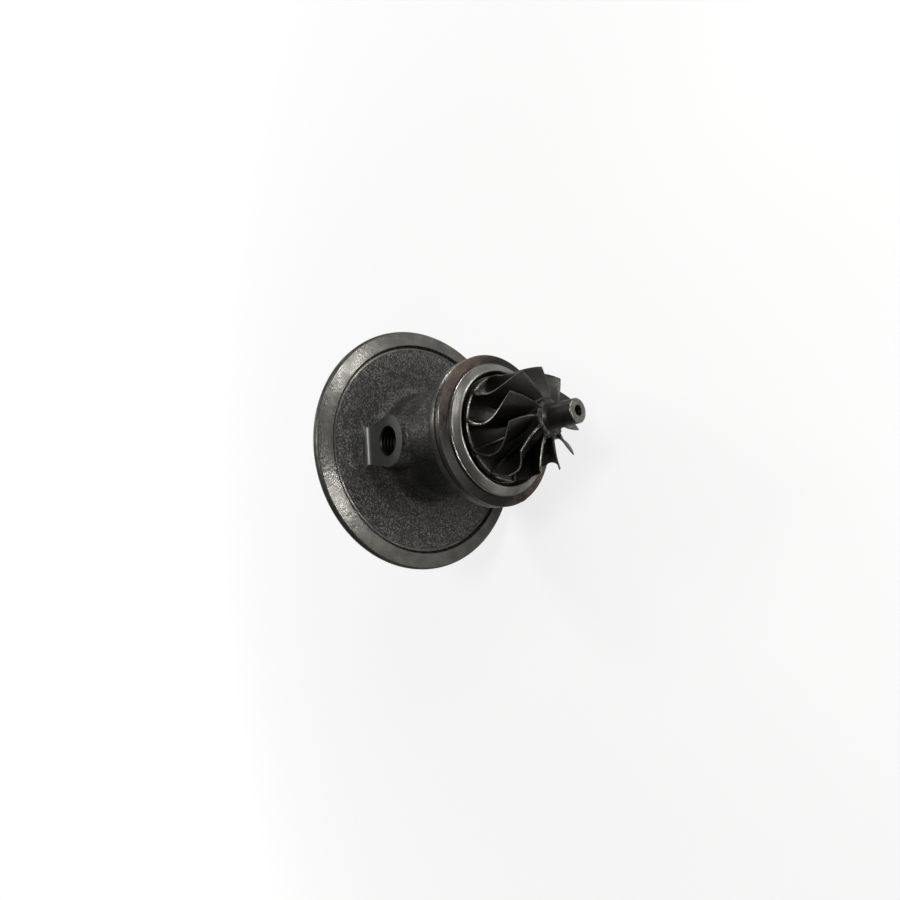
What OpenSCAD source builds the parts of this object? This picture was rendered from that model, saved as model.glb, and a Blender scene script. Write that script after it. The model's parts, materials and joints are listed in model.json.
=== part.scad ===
// Turbocharger cartridge: a cast bearing housing with its rotor, floating bushes, thrust parts and seals.
// The rotor lies along X with the turbine at +X. Z is up, with the oil inlet on top and the drain below.
// The origin is on the rotor axis, in the face of the turbine flange. Sizes are in millimetres.

/* [Compressor disc] */
// Outside diameter of the disc that closes the compressor cover
disc_d = 104; // [100:0.5:120]
// Width of the disc's outer edge
disc_rim_t = 2.3; // [1.6:0.1:3]
// Radial width of the turned land round the disc's turbine side
disc_land_w = 6.6; // [4:0.1:8]
// How far the land rises from its outer edge to its inner edge
disc_land_rise = 0.9; // [0.2:0.1:1.6]
// Step from the land down to the cast face
disc_step = 1.4; // [0.6:0.1:2]
// Fall of the cast face from the land to the root of the waist
disc_dish = 2.6; // [1:0.1:3.4]
// Thickness of the disc at the root of the waist
disc_web_t = 5.5; // [4.6:0.1:8]
// Diameter of the spigot behind the disc, which enters the compressor cover
spigot_d = 96.8; // [90:0.2:97]
// Section of the O-ring on the spigot
cover_ring_section = 2.4; // [1.8:0.1:2.6]

/* [Turbine flange] */
// Outside diameter of the turbine flange
flange_d = 56.5; // [55:0.5:62]
// Thickness of the turbine flange
flange_t = 5.9; // [5:0.1:7]
// Width of the lip in front of the groove round the flange
flange_lip_w = 0.9; // [0.7:0.1:1.4]
// Width of the groove round the flange
flange_groove_w = 2; // [1:0.1:2.4]
// Depth of the groove round the flange
flange_groove_depth = 0.8; // [0.4:0.1:1.4]
// Diameter of the pilot that centres the turbine housing
pilot_d = 49.2; // [48.4:0.2:51]
// Height of the pilot above the flange face
pilot_h = 1.4; // [1.2:0.1:1.9]

/* [Waist] */
// Diameter of the cast waist at its middle
waist_d = 43; // [42:0.5:45]
// How much smaller the waist's radius is behind the flange
neck_drop = 1.8; // [0.5:0.1:2.4]
// How much larger the waist's radius is next to the disc
shoulder_rise = 1.5; // [0.5:0.1:2]
// Length of the waist, from the back of the flange to the disc's cast face
waist_l = 41; // [40:0.5:46]

/* [Oil inlet] */
// Core diameter of the inlet's tapped hole
inlet_core_d = 10.38; // [8.5:0.02:12]
// Depth of the tapped hole
inlet_depth = 12; // [8:0.5:13]
// Distance of the inlet's axis behind the flange face
inlet_x = 31.5; // [30:0.1:33]
// Height of the milled inlet face above the rotor axis
inlet_face_h = 28.6; // [28:0.1:31]
// Diameter of the inlet boss
boss_d = 20; // [17:0.5:22]
// Diameter of the rounded rib from the boss to the flange
rib_d = 18; // [14:0.5:20]
// Diameter of the drilled oil galleries
gallery_d = 2.6; // [2:0.1:2.8]

/* [Oil drain] */
// Distance of the drain's axis behind the flange face
drain_x = 26.9; // [26:0.1:28]
// Depth of the drain face below the rotor axis
drain_face_h = 36; // [35:0.5:40]
// Bore of the drain
drain_bore_d = 15; // [12:0.5:16]
// Diameter of the neck round the drain
drain_neck_d = 26; // [24:0.5:28]
// Distance between the drain's two tapped holes
drain_bolt_spacing = 38; // [36:0.5:42]
// Core diameter of the drain's tapped holes
drain_bolt_d = 5; // [4:0.1:6]
// Diameter of the ears round the tapped holes
drain_ear_d = 16; // [12:0.5:18]
// Thickness of the ears
drain_ear_t = 10; // [6:0.5:11]

/* [Heat shield] */
// Thickness of the shield's sheet
shield_t = 0.8; // [0.6:0.1:0.9]
// Outside diameter of the shield
shield_d = 48.4; // [47.6:0.1:48.4]
// Diameter of the shield's raised crest
crest_d = 43; // [42.6:0.1:43.4]
// Height of the crest above the flange face
crest_h = 3.5; // [3.3:0.1:3.9]
// Diameter of the shield's centre hole
shield_hole_d = 18; // [17.4:0.2:22]

/* [Turbine wheel] */
// Number of turbine blades
turbine_blades = 11; // [9:1:12]
// Diameter at the blades' inlet edges
turbine_in_d = 38.8; // [36:0.1:39.2]
// Diameter at the blades' outlet tips
turbine_out_d = 35.7; // [30:0.1:36]
// Distance of the wheel's back disc in front of the flange face
turbine_back_x = 2.5; // [2.3:0.1:3.1]
// Thickness of the back disc at its rim
turbine_disc_t = 1.6; // [1.2:0.1:2]
// Width of the blades' inlet edges
turbine_in_w = 5.8; // [4:0.1:7]
// Distance from the back disc's front to the outlet tips
turbine_tip_l = 17.7; // [15:0.1:19]
// Distance from the back disc's front to the outlet at the hub
turbine_hub_l = 19.6; // [17:0.1:21]
// Hub diameter at the outlet
turbine_hub_d = 12.8; // [11:0.1:14]
// Diameter of the nose's end
nose_d = 8.1; // [7:0.1:9]
// Length of the nose beyond the hub
nose_l = 11.1; // [8:0.1:13]
// Diameter of the nose's centre hole
nose_hole_d = 3.5; // [2:0.1:4]
// Blade thickness at the hub
turbine_root_t = 1.5; // [1.1:0.1:1.8]
// Blade thickness at the tip
turbine_tip_t = 0.8; // [0.5:0.05:0.9]
// Lead of the inlet's tip over its root, in degrees
turbine_lean = 7; // [0:0.5:9]
// Turn of the blades from the inlet to the outlet, in degrees
turbine_wrap = 29; // [20:0.5:34]

/* [Compressor wheel] */
// Number of full compressor blades, with as many splitters
compressor_blades = 6; // [5:1:7]
// Diameter of the compressor wheel
compressor_d = 46; // [42:0.5:52]
// Diameter at the blades' inlet tips
compressor_in_d = 33; // [28:0.5:36]
// Height of the compressor wheel
compressor_h = 17.8; // [15:0.1:20]
// Width of the blades at the outlet
compressor_out_w = 3.4; // [2.4:0.1:4]
// Diameter of the wheel's nose
compressor_nose_d = 10.4; // [9.6:0.1:12]
// Sweep of the blades at the outlet, in degrees
compressor_sweep = 25; // [10:1:35]
// Turn of the blades at the inlet, in degrees
compressor_turn = 30; // [15:1:36]
// Blade thickness at the hub
compressor_root_t = 1.1; // [0.8:0.1:1.3]
// Blade thickness at the tip
compressor_tip_t = 0.5; // [0.4:0.05:0.7]

/* [Shaft and bearings] */
// Diameter of the shaft's journals
journal_d = 7; // [6.6:0.1:7.4]
// Diameter of the shaft's compressor end
stud_d = 5.2; // [5:0.1:5.6]
// Diameter of the floating bushes' bores in the housing
bearing_bore_d = 11; // [10.6:0.1:11.4]
// Length of a floating bush
bush_l = 6.8; // [5.8:0.1:7]
// Radial clearance between journal and bush
bush_inner_clear = 0.02; // [0.015:0.005:0.04]
// Radial clearance between bush and housing
bush_outer_clear = 0.04; // [0.03:0.005:0.06]
// Oil holes round a bush
bush_holes = 6; // [4:1:8]
// Diameter of a bush's oil holes
bush_hole_d = 1.2; // [0.8:0.1:1.6]
// Thickness of the bushes' snap rings
snap_t = 0.8; // [0.7:0.05:0.9]
// Outside diameter of the bushes' snap rings
snap_d = 12.4; // [12.2:0.1:12.8]

/* [Thrust parts] */
// Thickness of the thrust bearing plate
thrust_t = 3.5; // [3:0.1:4]
// Diameter of the thrust bearing plate
thrust_d = 34; // [32:0.5:36]
// Diameter of the thrust washer and of the collar's flange
thrust_ring_d = 16; // [14:0.2:17]
// Thickness of the thrust washer
washer_t = 2.3; // [1.8:0.1:2.6]
// Thickness of the collar's flange
collar_t = 2.1; // [1.6:0.1:2.4]
// Clearance at each face of the thrust bearing
thrust_clear = 0.15; // [0.1:0.01:0.2]
// Diameter of the locating pins
pin_d = 2.5; // [2:0.1:3]
// Distance between the locating pins
pin_spacing = 27; // [25:0.5:28]

/* [Seals] */
// Bore for the turbine piston ring
turbine_ring_d = 16; // [15:0.1:16.4]
// Bore for the compressor piston ring
compressor_ring_d = 12; // [11:0.1:12.4]
// Axial width of the piston rings
ring_w = 1.3; // [1:0.05:1.4]
// Radial width of the piston rings
ring_radial = 1.4; // [1.1:0.05:1.5]
// Clearance of a ring in its groove, on each side
ring_clear = 0.05; // [0.03:0.01:0.08]
// Diameter of the seal plate's bore in the housing
seal_bore_d = 40; // [39:0.5:42]
// Depth of the seal plate's bore
seal_bore_depth = 6.5; // [6.2:0.1:7]
// Section of the seal plate's O-ring
seal_ring_section = 1.8; // [1.4:0.1:1.9]
// Thickness of the seal plate's snap ring
circlip_t = 0.9; // [0.7:0.05:1]
// Thickness of the oil deflector's sheet
deflector_t = 0.6; // [0.4:0.1:0.7]

/* [Hidden] */
$fn = 72;

// Small edge breaks, gaps and overlaps
edge = 0.3;
gap = 0.1;
slip = 0.02;
free = 0.3;
bite = 1;

// Walls, fillets and steps of the casting
pilot_wall = 2.2;
recess_depth = 1.5;
flange_fillet = 2.5;
root_fillet = 3.5;
undercut_w = 1.2;
undercut_depth = 0.3;
mill_fillet = 2.5;
mill_w = 15;
rib_drop = 2.2;

// Places along the rotor on the housing's outside, from the flange face at 0
flange_back_x = -flange_t;
root_x = flange_back_x - waist_l;
cast_x = root_x + disc_dish;
land_x = cast_x + disc_step;
rim_x = land_x - disc_land_rise;
rim_back_x = rim_x - disc_rim_t;
rear_x = root_x - disc_web_t;
recess_x = -recess_depth;

// Ends of the waist's two cones, as shares of its length from the flange
neck_cone = [0.32, 0.46];
shoulder_cone = [0.64, 0.73];

// Groove round the flange
groove_x = -flange_lip_w;

// Radii on the housing's outside
disc_r = disc_d / 2;
land_r = disc_r - disc_land_w;
step_r = land_r - disc_step / 2;
spigot_r = spigot_d / 2;
flange_r = flange_d / 2;
pilot_r = pilot_d / 2;
waist_r = waist_d / 2;
neck_r = waist_r - neck_drop;
shoulder_r = waist_r + shoulder_rise;
recess_r = pilot_r - pilot_wall;
cover_ring_seat = 0.8;
cover_groove_w = cover_ring_section + 2 * gap;
cover_groove_x = (rim_back_x + rear_x) / 2;
cover_groove_r = spigot_r - cover_ring_seat * cover_ring_section;

// Places along the rotor inside the housing: turbine end
ring_bore_l = 8;
ring_bore_end = recess_x - ring_bore_l;
flinger_l = 3.8;
web_wall = 1.1;
snap_groove_w = snap_t + gap;
turbine_web_x = ring_bore_end - flinger_l;
turbine_bush_x = turbine_web_x - web_wall - snap_groove_w - gap;
turbine_web_end = turbine_bush_x - bush_l - gap - snap_groove_w - web_wall;
ring_groove_x = ring_bore_end / 2 + ring_w / 2;

// Places along the rotor inside the housing: compressor end
seal_seat_x = rear_x + seal_bore_depth;
thrust_seat_x = seal_seat_x + thrust_t;
washer_room = 0.5;
shoulder_x = thrust_seat_x + thrust_clear + washer_t;
washer_pocket_x = shoulder_x + washer_room;
compressor_bush_x = washer_pocket_x + web_wall + snap_groove_w + gap + bush_l;
compressor_web_x = compressor_bush_x + gap + snap_groove_w + web_wall;
collar_x = thrust_seat_x - thrust_t - thrust_clear;
collar_back_x = collar_x - collar_t;
flinger_t = 0.5;
flinger_room = 0.2;
seal_pocket_x = collar_back_x - flinger_t - flinger_room;
compressor_ring_x = (seal_pocket_x + rear_x) / 2 + ring_w / 2;
deflector_back_x = seal_seat_x - deflector_t;
circlip_lip = 0.4;
circlip_x = rear_x + circlip_t + circlip_lip;
wheel_room = 0.75;
compressor_back_x = rear_x - wheel_room;
compressor_nose_x = compressor_back_x - compressor_h;
nut_l = 5;
nut_end_x = compressor_nose_x - nut_l;
stud_beyond = 3;
shaft_end_x = nut_end_x - stud_beyond;

// Radii inside the housing
bearing_bore_r = bearing_bore_d / 2;
snap_groove_r = snap_d / 2 + gap;
turbine_ring_r = turbine_ring_d / 2;
compressor_ring_r = compressor_ring_d / 2;
flinger_r = 12.5;
chamber_r = 7.2;
washer_pocket_wall = 1.5;
washer_pocket_r = thrust_ring_d / 2 + washer_pocket_wall;
thrust_r = thrust_d / 2;
seal_bore_r = seal_bore_d / 2;
circlip_bite = 1.2;
circlip_groove_r = seal_bore_r + circlip_bite;
drain_way_d = 6.4;
journal_r = journal_d / 2;
stud_r = stud_d / 2;
thrust_sleeve_wall = 2;
thrust_sleeve_r = stud_r + thrust_sleeve_wall;
pin_depth = 3.8;
pin_room = 0.2;

// Turbine wheel
turbine_front_x = turbine_back_x + turbine_disc_t;
turbine_tip_x = turbine_front_x + turbine_tip_l;
turbine_hub_x = turbine_front_x + turbine_hub_l;
turbine_in_r = turbine_in_d / 2;
turbine_out_r = turbine_out_d / 2;
turbine_hub_r = turbine_hub_d / 2;
turbine_straight_l = 0.7;
turbine_straight_x = turbine_front_x + turbine_in_w + turbine_straight_l;
wheel_boss_r = turbine_ring_r - free;
weld_x = ring_bore_end + edge;
nose_x = turbine_hub_x + nose_l;
hub_steps = 12;
tip_relief = 0.16;
blade_thin = 0.4;
turbine_phase = 92.5;

// Compressor wheel
compressor_disc_t = 1.4;
compressor_front_x = compressor_back_x - compressor_disc_t;
compressor_r = compressor_d / 2;
compressor_in_r = compressor_in_d / 2;
compressor_nose_r = compressor_nose_d / 2;
splitter_start = 0.72;

// Colours
iron = [0.20, 0.20, 0.19];
shield_steel = [0.36, 0.35, 0.33];
hot_alloy = [0.19, 0.18, 0.17];
steel = [0.60, 0.60, 0.60];
bronze = [0.66, 0.48, 0.28];
alloy = [0.75, 0.76, 0.77];
rubber = [0.08, 0.08, 0.08];
spring_steel = [0.30, 0.30, 0.31];

// Points of a round corner, from angle a0 to a1
function arc(centre, r, a0, a1, n) =
    [for (i = [0:n]) centre + r * [cos(a0 + (a1 - a0) * i / n), sin(a0 + (a1 - a0) * i / n)]];

// A solid of revolution about X from points of radius and place
module turned(points) {
    rotate([0, 90, 0]) rotate_extrude() polygon(points);
}

// A plain ring about X
module ring(r_in, r_out, x0, x1) {
    turned([[r_in, x0], [r_out, x0], [r_out, x1], [r_in, x1]]);
}

// A ring of round section about X
module o_ring(r, section, x) {
    translate([x, 0, 0]) rotate([0, 90, 0]) rotate_extrude()
        translate([r, 0]) circle(d = section, $fn = 32);
}

// A ring with a gap cut through its lower side
module split_ring(r_in, r_out, x0, x1, gap_w) {
    difference() {
        ring(r_in, r_out, x0, x1);
        translate([min(x0, x1) - bite, -gap_w / 2, -r_out - bite])
            cube([abs(x1 - x0) + 2 * bite, gap_w, r_out]);
    }
}

// A straight round hole between two points in the plane of the rotor axis and the inlet
module drilled(from, to, d) {
    way = to - from;
    translate([from[0], 0, from[1]]) rotate([0, atan2(way[0], way[1]), 0])
        cylinder(d = d, h = norm(way), $fn = 32);
}

// A quarter ellipse from a rim to an outlet: it leaves the rim radially and ends along the axis
function quarter(x0, r0, x1, r1, s) = [x1 - (x1 - x0) * cos(90 * s), r0 - (r0 - r1) * sin(90 * s)];

// A point at place x and radius r, turned by an angle about the rotor axis from +Y toward +Z
function around(xr, angle) = [xr[0], xr[1] * cos(angle), xr[1] * sin(angle)];

// Point of a blade's middle surface: s runs along the flow and h from hub to tip
function mid(hub, tip, turn, s, h) =
    let (p = hub(s) * (1 - h) + tip(s) * h)
    around(p, turn(s, p[0]));

// Direction across a blade at a point of its middle surface
function across(hub, tip, turn, s, h) =
    let (
        d = 0.01,
        n = cross(
            mid(hub, tip, turn, s + d, h) - mid(hub, tip, turn, s - d, h),
            mid(hub, tip, turn, s, h + d) - mid(hub, tip, turn, s, h - d)
        )
    )
    n / norm(n);

// A blade from its hub line, tip line and turning; it starts a little inside the hub
// and thins along the flow
module blade(hub, tip, turn, root_t, tip_t, s1 = 1, ns = 10, nh = 4, sink = 0.09) {
    row = nh + 1;
    side = (ns + 1) * row;
    s_at = [for (i = [0:ns]) s1 * i / ns];
    h_at = [for (j = [0:nh]) -sink + (1 + sink) * j / nh];
    function at(k, i, j) = k * side + i * row + j;
    points = [
        for (k = [0, 1], s = s_at, h = h_at)
            mid(hub, tip, turn, s, h)
            + (k - 0.5) * (1 - blade_thin * s * s) * (root_t + (tip_t - root_t) * max(h, 0))
                * across(hub, tip, turn, s, h)
    ];
    faces = [
        for (k = [0, 1], i = [0:ns - 1], j = [0:nh - 1])
            let (a = at(k, i, j), b = at(k, i + 1, j), c = at(k, i + 1, j + 1), d = at(k, i, j + 1))
            each k == 0 ? [[a, b, c], [a, c, d]] : [[a, c, b], [a, d, c]],
        for (i = [0:ns - 1], j = [0, nh])
            let (a = at(0, i, j), b = at(0, i + 1, j), c = at(1, i + 1, j), d = at(1, i, j))
            each j == 0 ? [[a, c, b], [a, d, c]] : [[a, b, c], [a, c, d]],
        for (i = [0, ns], j = [0:nh - 1])
            let (a = at(0, i, j), b = at(0, i, j + 1), c = at(1, i, j + 1), d = at(1, i, j))
            each i == 0 ? [[a, b, c], [a, c, d]] : [[a, c, b], [a, d, c]]
    ];
    polyhedron(points, faces, convexity = 4);
}

// Outside of the casting that is turned about the rotor axis
module housing_body() {
    slope = atan2(disc_dish, step_r - waist_r);
    groove_r = flange_r - flange_groove_depth;
    ring_front_x = cover_groove_x + cover_groove_w / 2;
    ring_back_x = cover_groove_x - cover_groove_w / 2;
    cone = function(share) flange_back_x - share * waist_l;
    dish = function(r) root_x + (r - waist_r) * tan(slope);
    undercut_r = step_r - undercut_w;
    undercut_x = cast_x - undercut_depth;
    fillet_r = shoulder_r + root_fillet;
    fillet_x = dish(fillet_r) + root_fillet / cos(slope);
    turned(concat(
        [[0, recess_x], [recess_r, recess_x], [recess_r, pilot_h]],
        [[pilot_r - edge, pilot_h], [pilot_r, pilot_h - edge], [pilot_r, 0]],
        [[flange_r - edge, 0], [flange_r, -edge], [flange_r, groove_x], [groove_r, groove_x]],
        [[groove_r, groove_x - flange_groove_w], [flange_r, groove_x - flange_groove_w]],
        [[flange_r, flange_back_x + edge], [flange_r - edge, flange_back_x]],
        arc([neck_r + flange_fillet, flange_back_x - flange_fillet], flange_fillet, 90, 180, 5),
        [[neck_r, cone(neck_cone[0])], [waist_r, cone(neck_cone[1])]],
        [[waist_r, cone(shoulder_cone[0])], [shoulder_r, cone(shoulder_cone[1])]],
        arc([fillet_r, fillet_x], root_fillet, 180, 270 + slope, 7),
        [[undercut_r, dish(undercut_r)], [undercut_r, undercut_x], [step_r, undercut_x]],
        [[land_r, land_x], [disc_r - edge, rim_x], [disc_r, rim_x - edge]],
        [[disc_r, rim_back_x], [spigot_r, rim_back_x]],
        [[spigot_r, ring_front_x], [cover_groove_r, ring_front_x]],
        [[cover_groove_r, ring_back_x], [spigot_r, ring_back_x]],
        [[spigot_r, rear_x + edge], [spigot_r - edge, rear_x], [0, rear_x]]
    ));
}

// Inlet boss with its flat narrowing back to the disc, the cutter's round corner where the flat
// meets the disc, and the rib that runs forward to the flange
module inlet_boss() {
    rib_h = inlet_face_h - rib_drop - rib_d / 2;
    translate([-inlet_x, 0, 0]) cylinder(d = boss_d, h = inlet_face_h);
    linear_extrude(inlet_face_h) polygon([
        [root_x - bite, -mill_w / 2], [root_x + mill_fillet, -mill_w / 2], [-inlet_x, -boss_d / 2],
        [-inlet_x, boss_d / 2], [root_x + mill_fillet, mill_w / 2], [root_x - bite, mill_w / 2]
    ]);
    translate([root_x, -mill_w / 2, inlet_face_h]) difference() {
        translate([-bite, 0, -bite]) cube([mill_fillet + bite, mill_w, mill_fillet + bite]);
        translate([mill_fillet, -bite, mill_fillet]) rotate([-90, 0, 0])
            cylinder(r = mill_fillet, h = mill_w + 2 * bite);
    }
    translate([-inlet_x, 0, rib_h]) rotate([0, 90, 0]) cylinder(d = rib_d, h = inlet_x - flange_t + bite);
}

// Drain neck with an ear on each side
module drain_pad() {
    translate([-drain_x, 0, -drain_face_h]) {
        cylinder(d = drain_neck_d, h = drain_face_h);
        for (side = [-1, 1])
            translate([0, side * drain_bolt_spacing / 2, 0]) cylinder(d = drain_ear_d, h = drain_ear_t);
        translate([-drain_ear_d / 2, -drain_bolt_spacing / 2, 0])
            cube([drain_ear_d, drain_bolt_spacing, drain_ear_t]);
    }
}

// Hollow along the rotor: seal bores, bearing bores, oil chambers and the seats of the thrust parts
module rotor_space() {
    feed_groove = 0.6;
    ring(0, turbine_ring_r, pilot_h, ring_bore_end - bite);
    ring(0, flinger_r, ring_bore_end, turbine_web_x);
    ring(0, bearing_bore_r, turbine_web_x + bite, washer_pocket_x - bite);
    for (x = [turbine_bush_x, compressor_bush_x]) {
        ring(0, snap_groove_r, x + gap + snap_groove_w, x + gap);
        ring(0, snap_groove_r, x - bush_l - gap, x - bush_l - gap - snap_groove_w);
        ring(0, bearing_bore_r + feed_groove, x - bush_l / 2 + bush_hole_d, x - bush_l / 2 - bush_hole_d);
    }
    ring(0, chamber_r, turbine_web_end, compressor_web_x);
    ring(0, washer_pocket_r, washer_pocket_x, thrust_seat_x - bite);
    ring(0, thrust_r + slip, thrust_seat_x, seal_seat_x - bite);
    ring(0, seal_bore_r, seal_seat_x, rear_x - bite);
    ring(0, circlip_groove_r, circlip_x, circlip_x - circlip_t - gap);
    for (side = [-1, 1])
        translate([thrust_seat_x - bite, side * pin_spacing / 2, 0]) rotate([0, 90, 0])
            cylinder(d = pin_d + 2 * slip, h = pin_depth + pin_room + bite, $fn = 32);
}

// Tapped inlet and the drilled ways to both bushes and the thrust bearing
module oil_feed() {
    mouth = 0.8;
    tip_h = 0.3 * inlet_core_d;
    spread = 1;
    thrust_way_d = 0.7 * gallery_d;
    thrust_way_r = 0.66 * thrust_r;
    foot = inlet_face_h - inlet_depth;
    end_r = bearing_bore_r - bite / 2;
    translate([-inlet_x, 0, foot]) {
        cylinder(d = inlet_core_d, h = inlet_depth + bite);
        translate([0, 0, -tip_h]) cylinder(d1 = 0, d2 = inlet_core_d, h = tip_h);
        translate([0, 0, inlet_depth - mouth])
            cylinder(d1 = inlet_core_d, d2 = inlet_core_d + 2 * (mouth + bite), h = mouth + bite);
    }
    drilled([-inlet_x + spread, foot], [turbine_bush_x - bush_l / 2, end_r], gallery_d);
    drilled([-inlet_x - spread, foot], [compressor_bush_x - bush_l / 2, end_r], gallery_d);
    drilled([-inlet_x - 2 * spread, foot + spread], [thrust_seat_x - bite, thrust_way_r], thrust_way_d);
}

// Drain bore, the chamber over it and the cored ways from both ends
module oil_return() {
    well_h = 10;
    spread = 3;
    thrust_way_r = 0.72 * thrust_r;
    meet_z = well_h - drain_face_h;
    translate([-drain_x, 0, -drain_face_h - bite])
        cylinder(d = drain_bore_d, h = drain_face_h - well_h + bite);
    translate([compressor_web_x, -chamber_r, -well_h - bite])
        cube([turbine_web_end - compressor_web_x, 2 * chamber_r, well_h + bite]);
    drilled([(ring_bore_end + turbine_web_x) / 2, -well_h], [-drain_x + spread, meet_z], drain_way_d);
    drilled([thrust_seat_x - thrust_t / 2, -thrust_way_r], [-drain_x - spread, meet_z], drain_way_d);
    for (side = [-1, 1])
        translate([-drain_x, side * drain_bolt_spacing / 2, -drain_face_h - bite])
            cylinder(d = drain_bolt_d, h = drain_ear_t + 2 * bite);
}

// Iron casting with its turned ends
module bearing_housing() {
    color(iron) difference() {
        union() {
            housing_body();
            inlet_boss();
            drain_pad();
        }
        rotor_space();
        oil_feed();
        oil_return();
    }
}

// Pressed cup on the pilot, with a raised crest round the wheel's back
module heat_shield() {
    crest_r = crest_d / 2;
    outer_r = shield_d / 2;
    hole_r = shield_hole_d / 2;
    floor_x = 1.1;
    bend = 0.4;
    lean = 0.6;
    seat_w = 1.2;
    wall_r = crest_r - lean;
    back_r = crest_r - edge;
    color(shield_steel) turned([
        [hole_r, floor_x], [wall_r - lean - bend, floor_x], [wall_r - lean, floor_x + bend],
        [wall_r, crest_h - bend], [wall_r + bend, crest_h], [crest_r + edge, crest_h - edge / 3],
        [outer_r, pilot_h + shield_t / 2],
        [outer_r, pilot_h], [outer_r - seat_w, pilot_h], [crest_r, crest_h - shield_t - bend / 2],
        [back_r, crest_h - shield_t - bend], [back_r - bend, floor_x - shield_t + bend],
        [back_r - 2 * bend, floor_x - shield_t], [hole_r, floor_x - shield_t]
    ]);
}

// Cast wheel with its sealing boss and nose
module turbine_wheel() {
    hub = function(s) quarter(turbine_front_x, turbine_in_r - slip, turbine_hub_x, turbine_hub_r, s);
    tip_in_x = turbine_front_x + turbine_in_w;
    tip = function(s) quarter(tip_in_x, turbine_in_r - tip_relief, turbine_tip_x, turbine_out_r, s);
    lead_l = turbine_straight_x - turbine_front_x;
    wrap_l = turbine_tip_x - turbine_straight_x;
    turn = function(s, x) x < turbine_straight_x
        ? -turbine_lean * pow((turbine_straight_x - x) / lead_l, 2)
        : -turbine_wrap * pow((x - turbine_straight_x) / wrap_l, 2);
    groove_r = turbine_ring_r - ring_radial - free;
    nose_r = nose_d / 2;
    color(hot_alloy) difference() {
        union() {
            turned(concat(
                [[0, weld_x], [wheel_boss_r, weld_x], [wheel_boss_r, ring_groove_x - ring_w - ring_clear]],
                [[groove_r, ring_groove_x - ring_w - ring_clear], [groove_r, ring_groove_x + ring_clear]],
                [[wheel_boss_r, ring_groove_x + ring_clear], [wheel_boss_r, turbine_back_x - bite]],
                [[wheel_boss_r + bite, turbine_back_x]],
                [[turbine_in_r, turbine_back_x], [turbine_in_r, turbine_front_x]],
                [for (i = [1:hub_steps]) let (p = hub(i / hub_steps)) [p[1], p[0]]],
                [[turbine_hub_r - edge, turbine_hub_x + edge], [nose_r + bite, turbine_hub_x + 2 * edge]],
                [[nose_r + edge, turbine_hub_x + 2 * bite]],
                [[nose_r, nose_x - edge], [nose_r - edge, nose_x], [0, nose_x]]
            ));
            for (i = [0:turbine_blades - 1])
                rotate([360 * i / turbine_blades + turbine_phase, 0, 0])
                    blade(hub, tip, turn, turbine_root_t, turbine_tip_t);
        }
        translate([nose_x - nose_hole_d, 0, 0]) rotate([0, 90, 0])
            cylinder(d = nose_hole_d, h = nose_hole_d + bite);
    }
}

// Shaft from the weld at the turbine wheel to the threaded compressor end
module shaft() {
    relief = 0.2;
    relief_r = journal_r - relief;
    color(steel) turned([
        [0, weld_x], [journal_r, weld_x], [journal_r, turbine_bush_x - bush_l - bite],
        [relief_r, turbine_bush_x - bush_l - 1.5 * bite], [relief_r, compressor_bush_x + 1.5 * bite],
        [journal_r, compressor_bush_x + bite], [journal_r, shoulder_x], [stud_r, shoulder_x],
        [stud_r, shaft_end_x + 2 * edge], [stud_r - 2 * edge, shaft_end_x], [0, shaft_end_x]
    ]);
}

// Split ring in the turbine wheel's boss
module turbine_piston_ring() {
    color(spring_steel)
        split_ring(turbine_ring_r - ring_radial, turbine_ring_r - slip, ring_groove_x,
            ring_groove_x - ring_w, free);
}

// Floating bush with its oil holes, from place x toward the compressor
module bush(x) {
    r_in = journal_r + bush_inner_clear;
    r_out = bearing_bore_r - bush_outer_clear;
    color(bronze) difference() {
        turned([
            [r_in + edge, x], [r_out - edge, x], [r_out, x - edge], [r_out, x - bush_l + edge],
            [r_out - edge, x - bush_l], [r_in + edge, x - bush_l], [r_in, x - bush_l + edge],
            [r_in, x - edge]
        ]);
        for (i = [0:bush_holes - 1])
            rotate([360 * i / bush_holes, 0, 0]) translate([x - bush_l / 2, 0, 0])
                cylinder(d = bush_hole_d, h = bearing_bore_r, $fn = 24);
    }
}

// Bush next to the turbine
module turbine_bush() {
    bush(turbine_bush_x);
}

// Bush next to the compressor
module compressor_bush() {
    bush(compressor_bush_x);
}

// Snap ring in the bearing bore, with its turbine side at place x
module snap_ring(x) {
    snap_w = 1.6;
    color(spring_steel) split_ring(snap_d / 2 - snap_w, snap_d / 2, x, x - snap_t, snap_d / 4);
}

// Snap ring on the turbine side of the turbine bush
module turbine_bush_snap_front() {
    snap_ring(turbine_bush_x + gap + snap_t);
}

// Snap ring on the compressor side of the turbine bush
module turbine_bush_snap_back() {
    snap_ring(turbine_bush_x - bush_l - gap);
}

// Snap ring on the turbine side of the compressor bush
module compressor_bush_snap_front() {
    snap_ring(compressor_bush_x + gap + snap_t);
}

// Snap ring on the compressor side of the compressor bush
module compressor_bush_snap_back() {
    snap_ring(compressor_bush_x - bush_l - gap);
}

// Washer between the shaft's shoulder and the thrust bearing
module thrust_washer() {
    color(steel) ring(stud_r + slip, thrust_ring_d / 2, shoulder_x, shoulder_x - washer_t);
}

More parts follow.
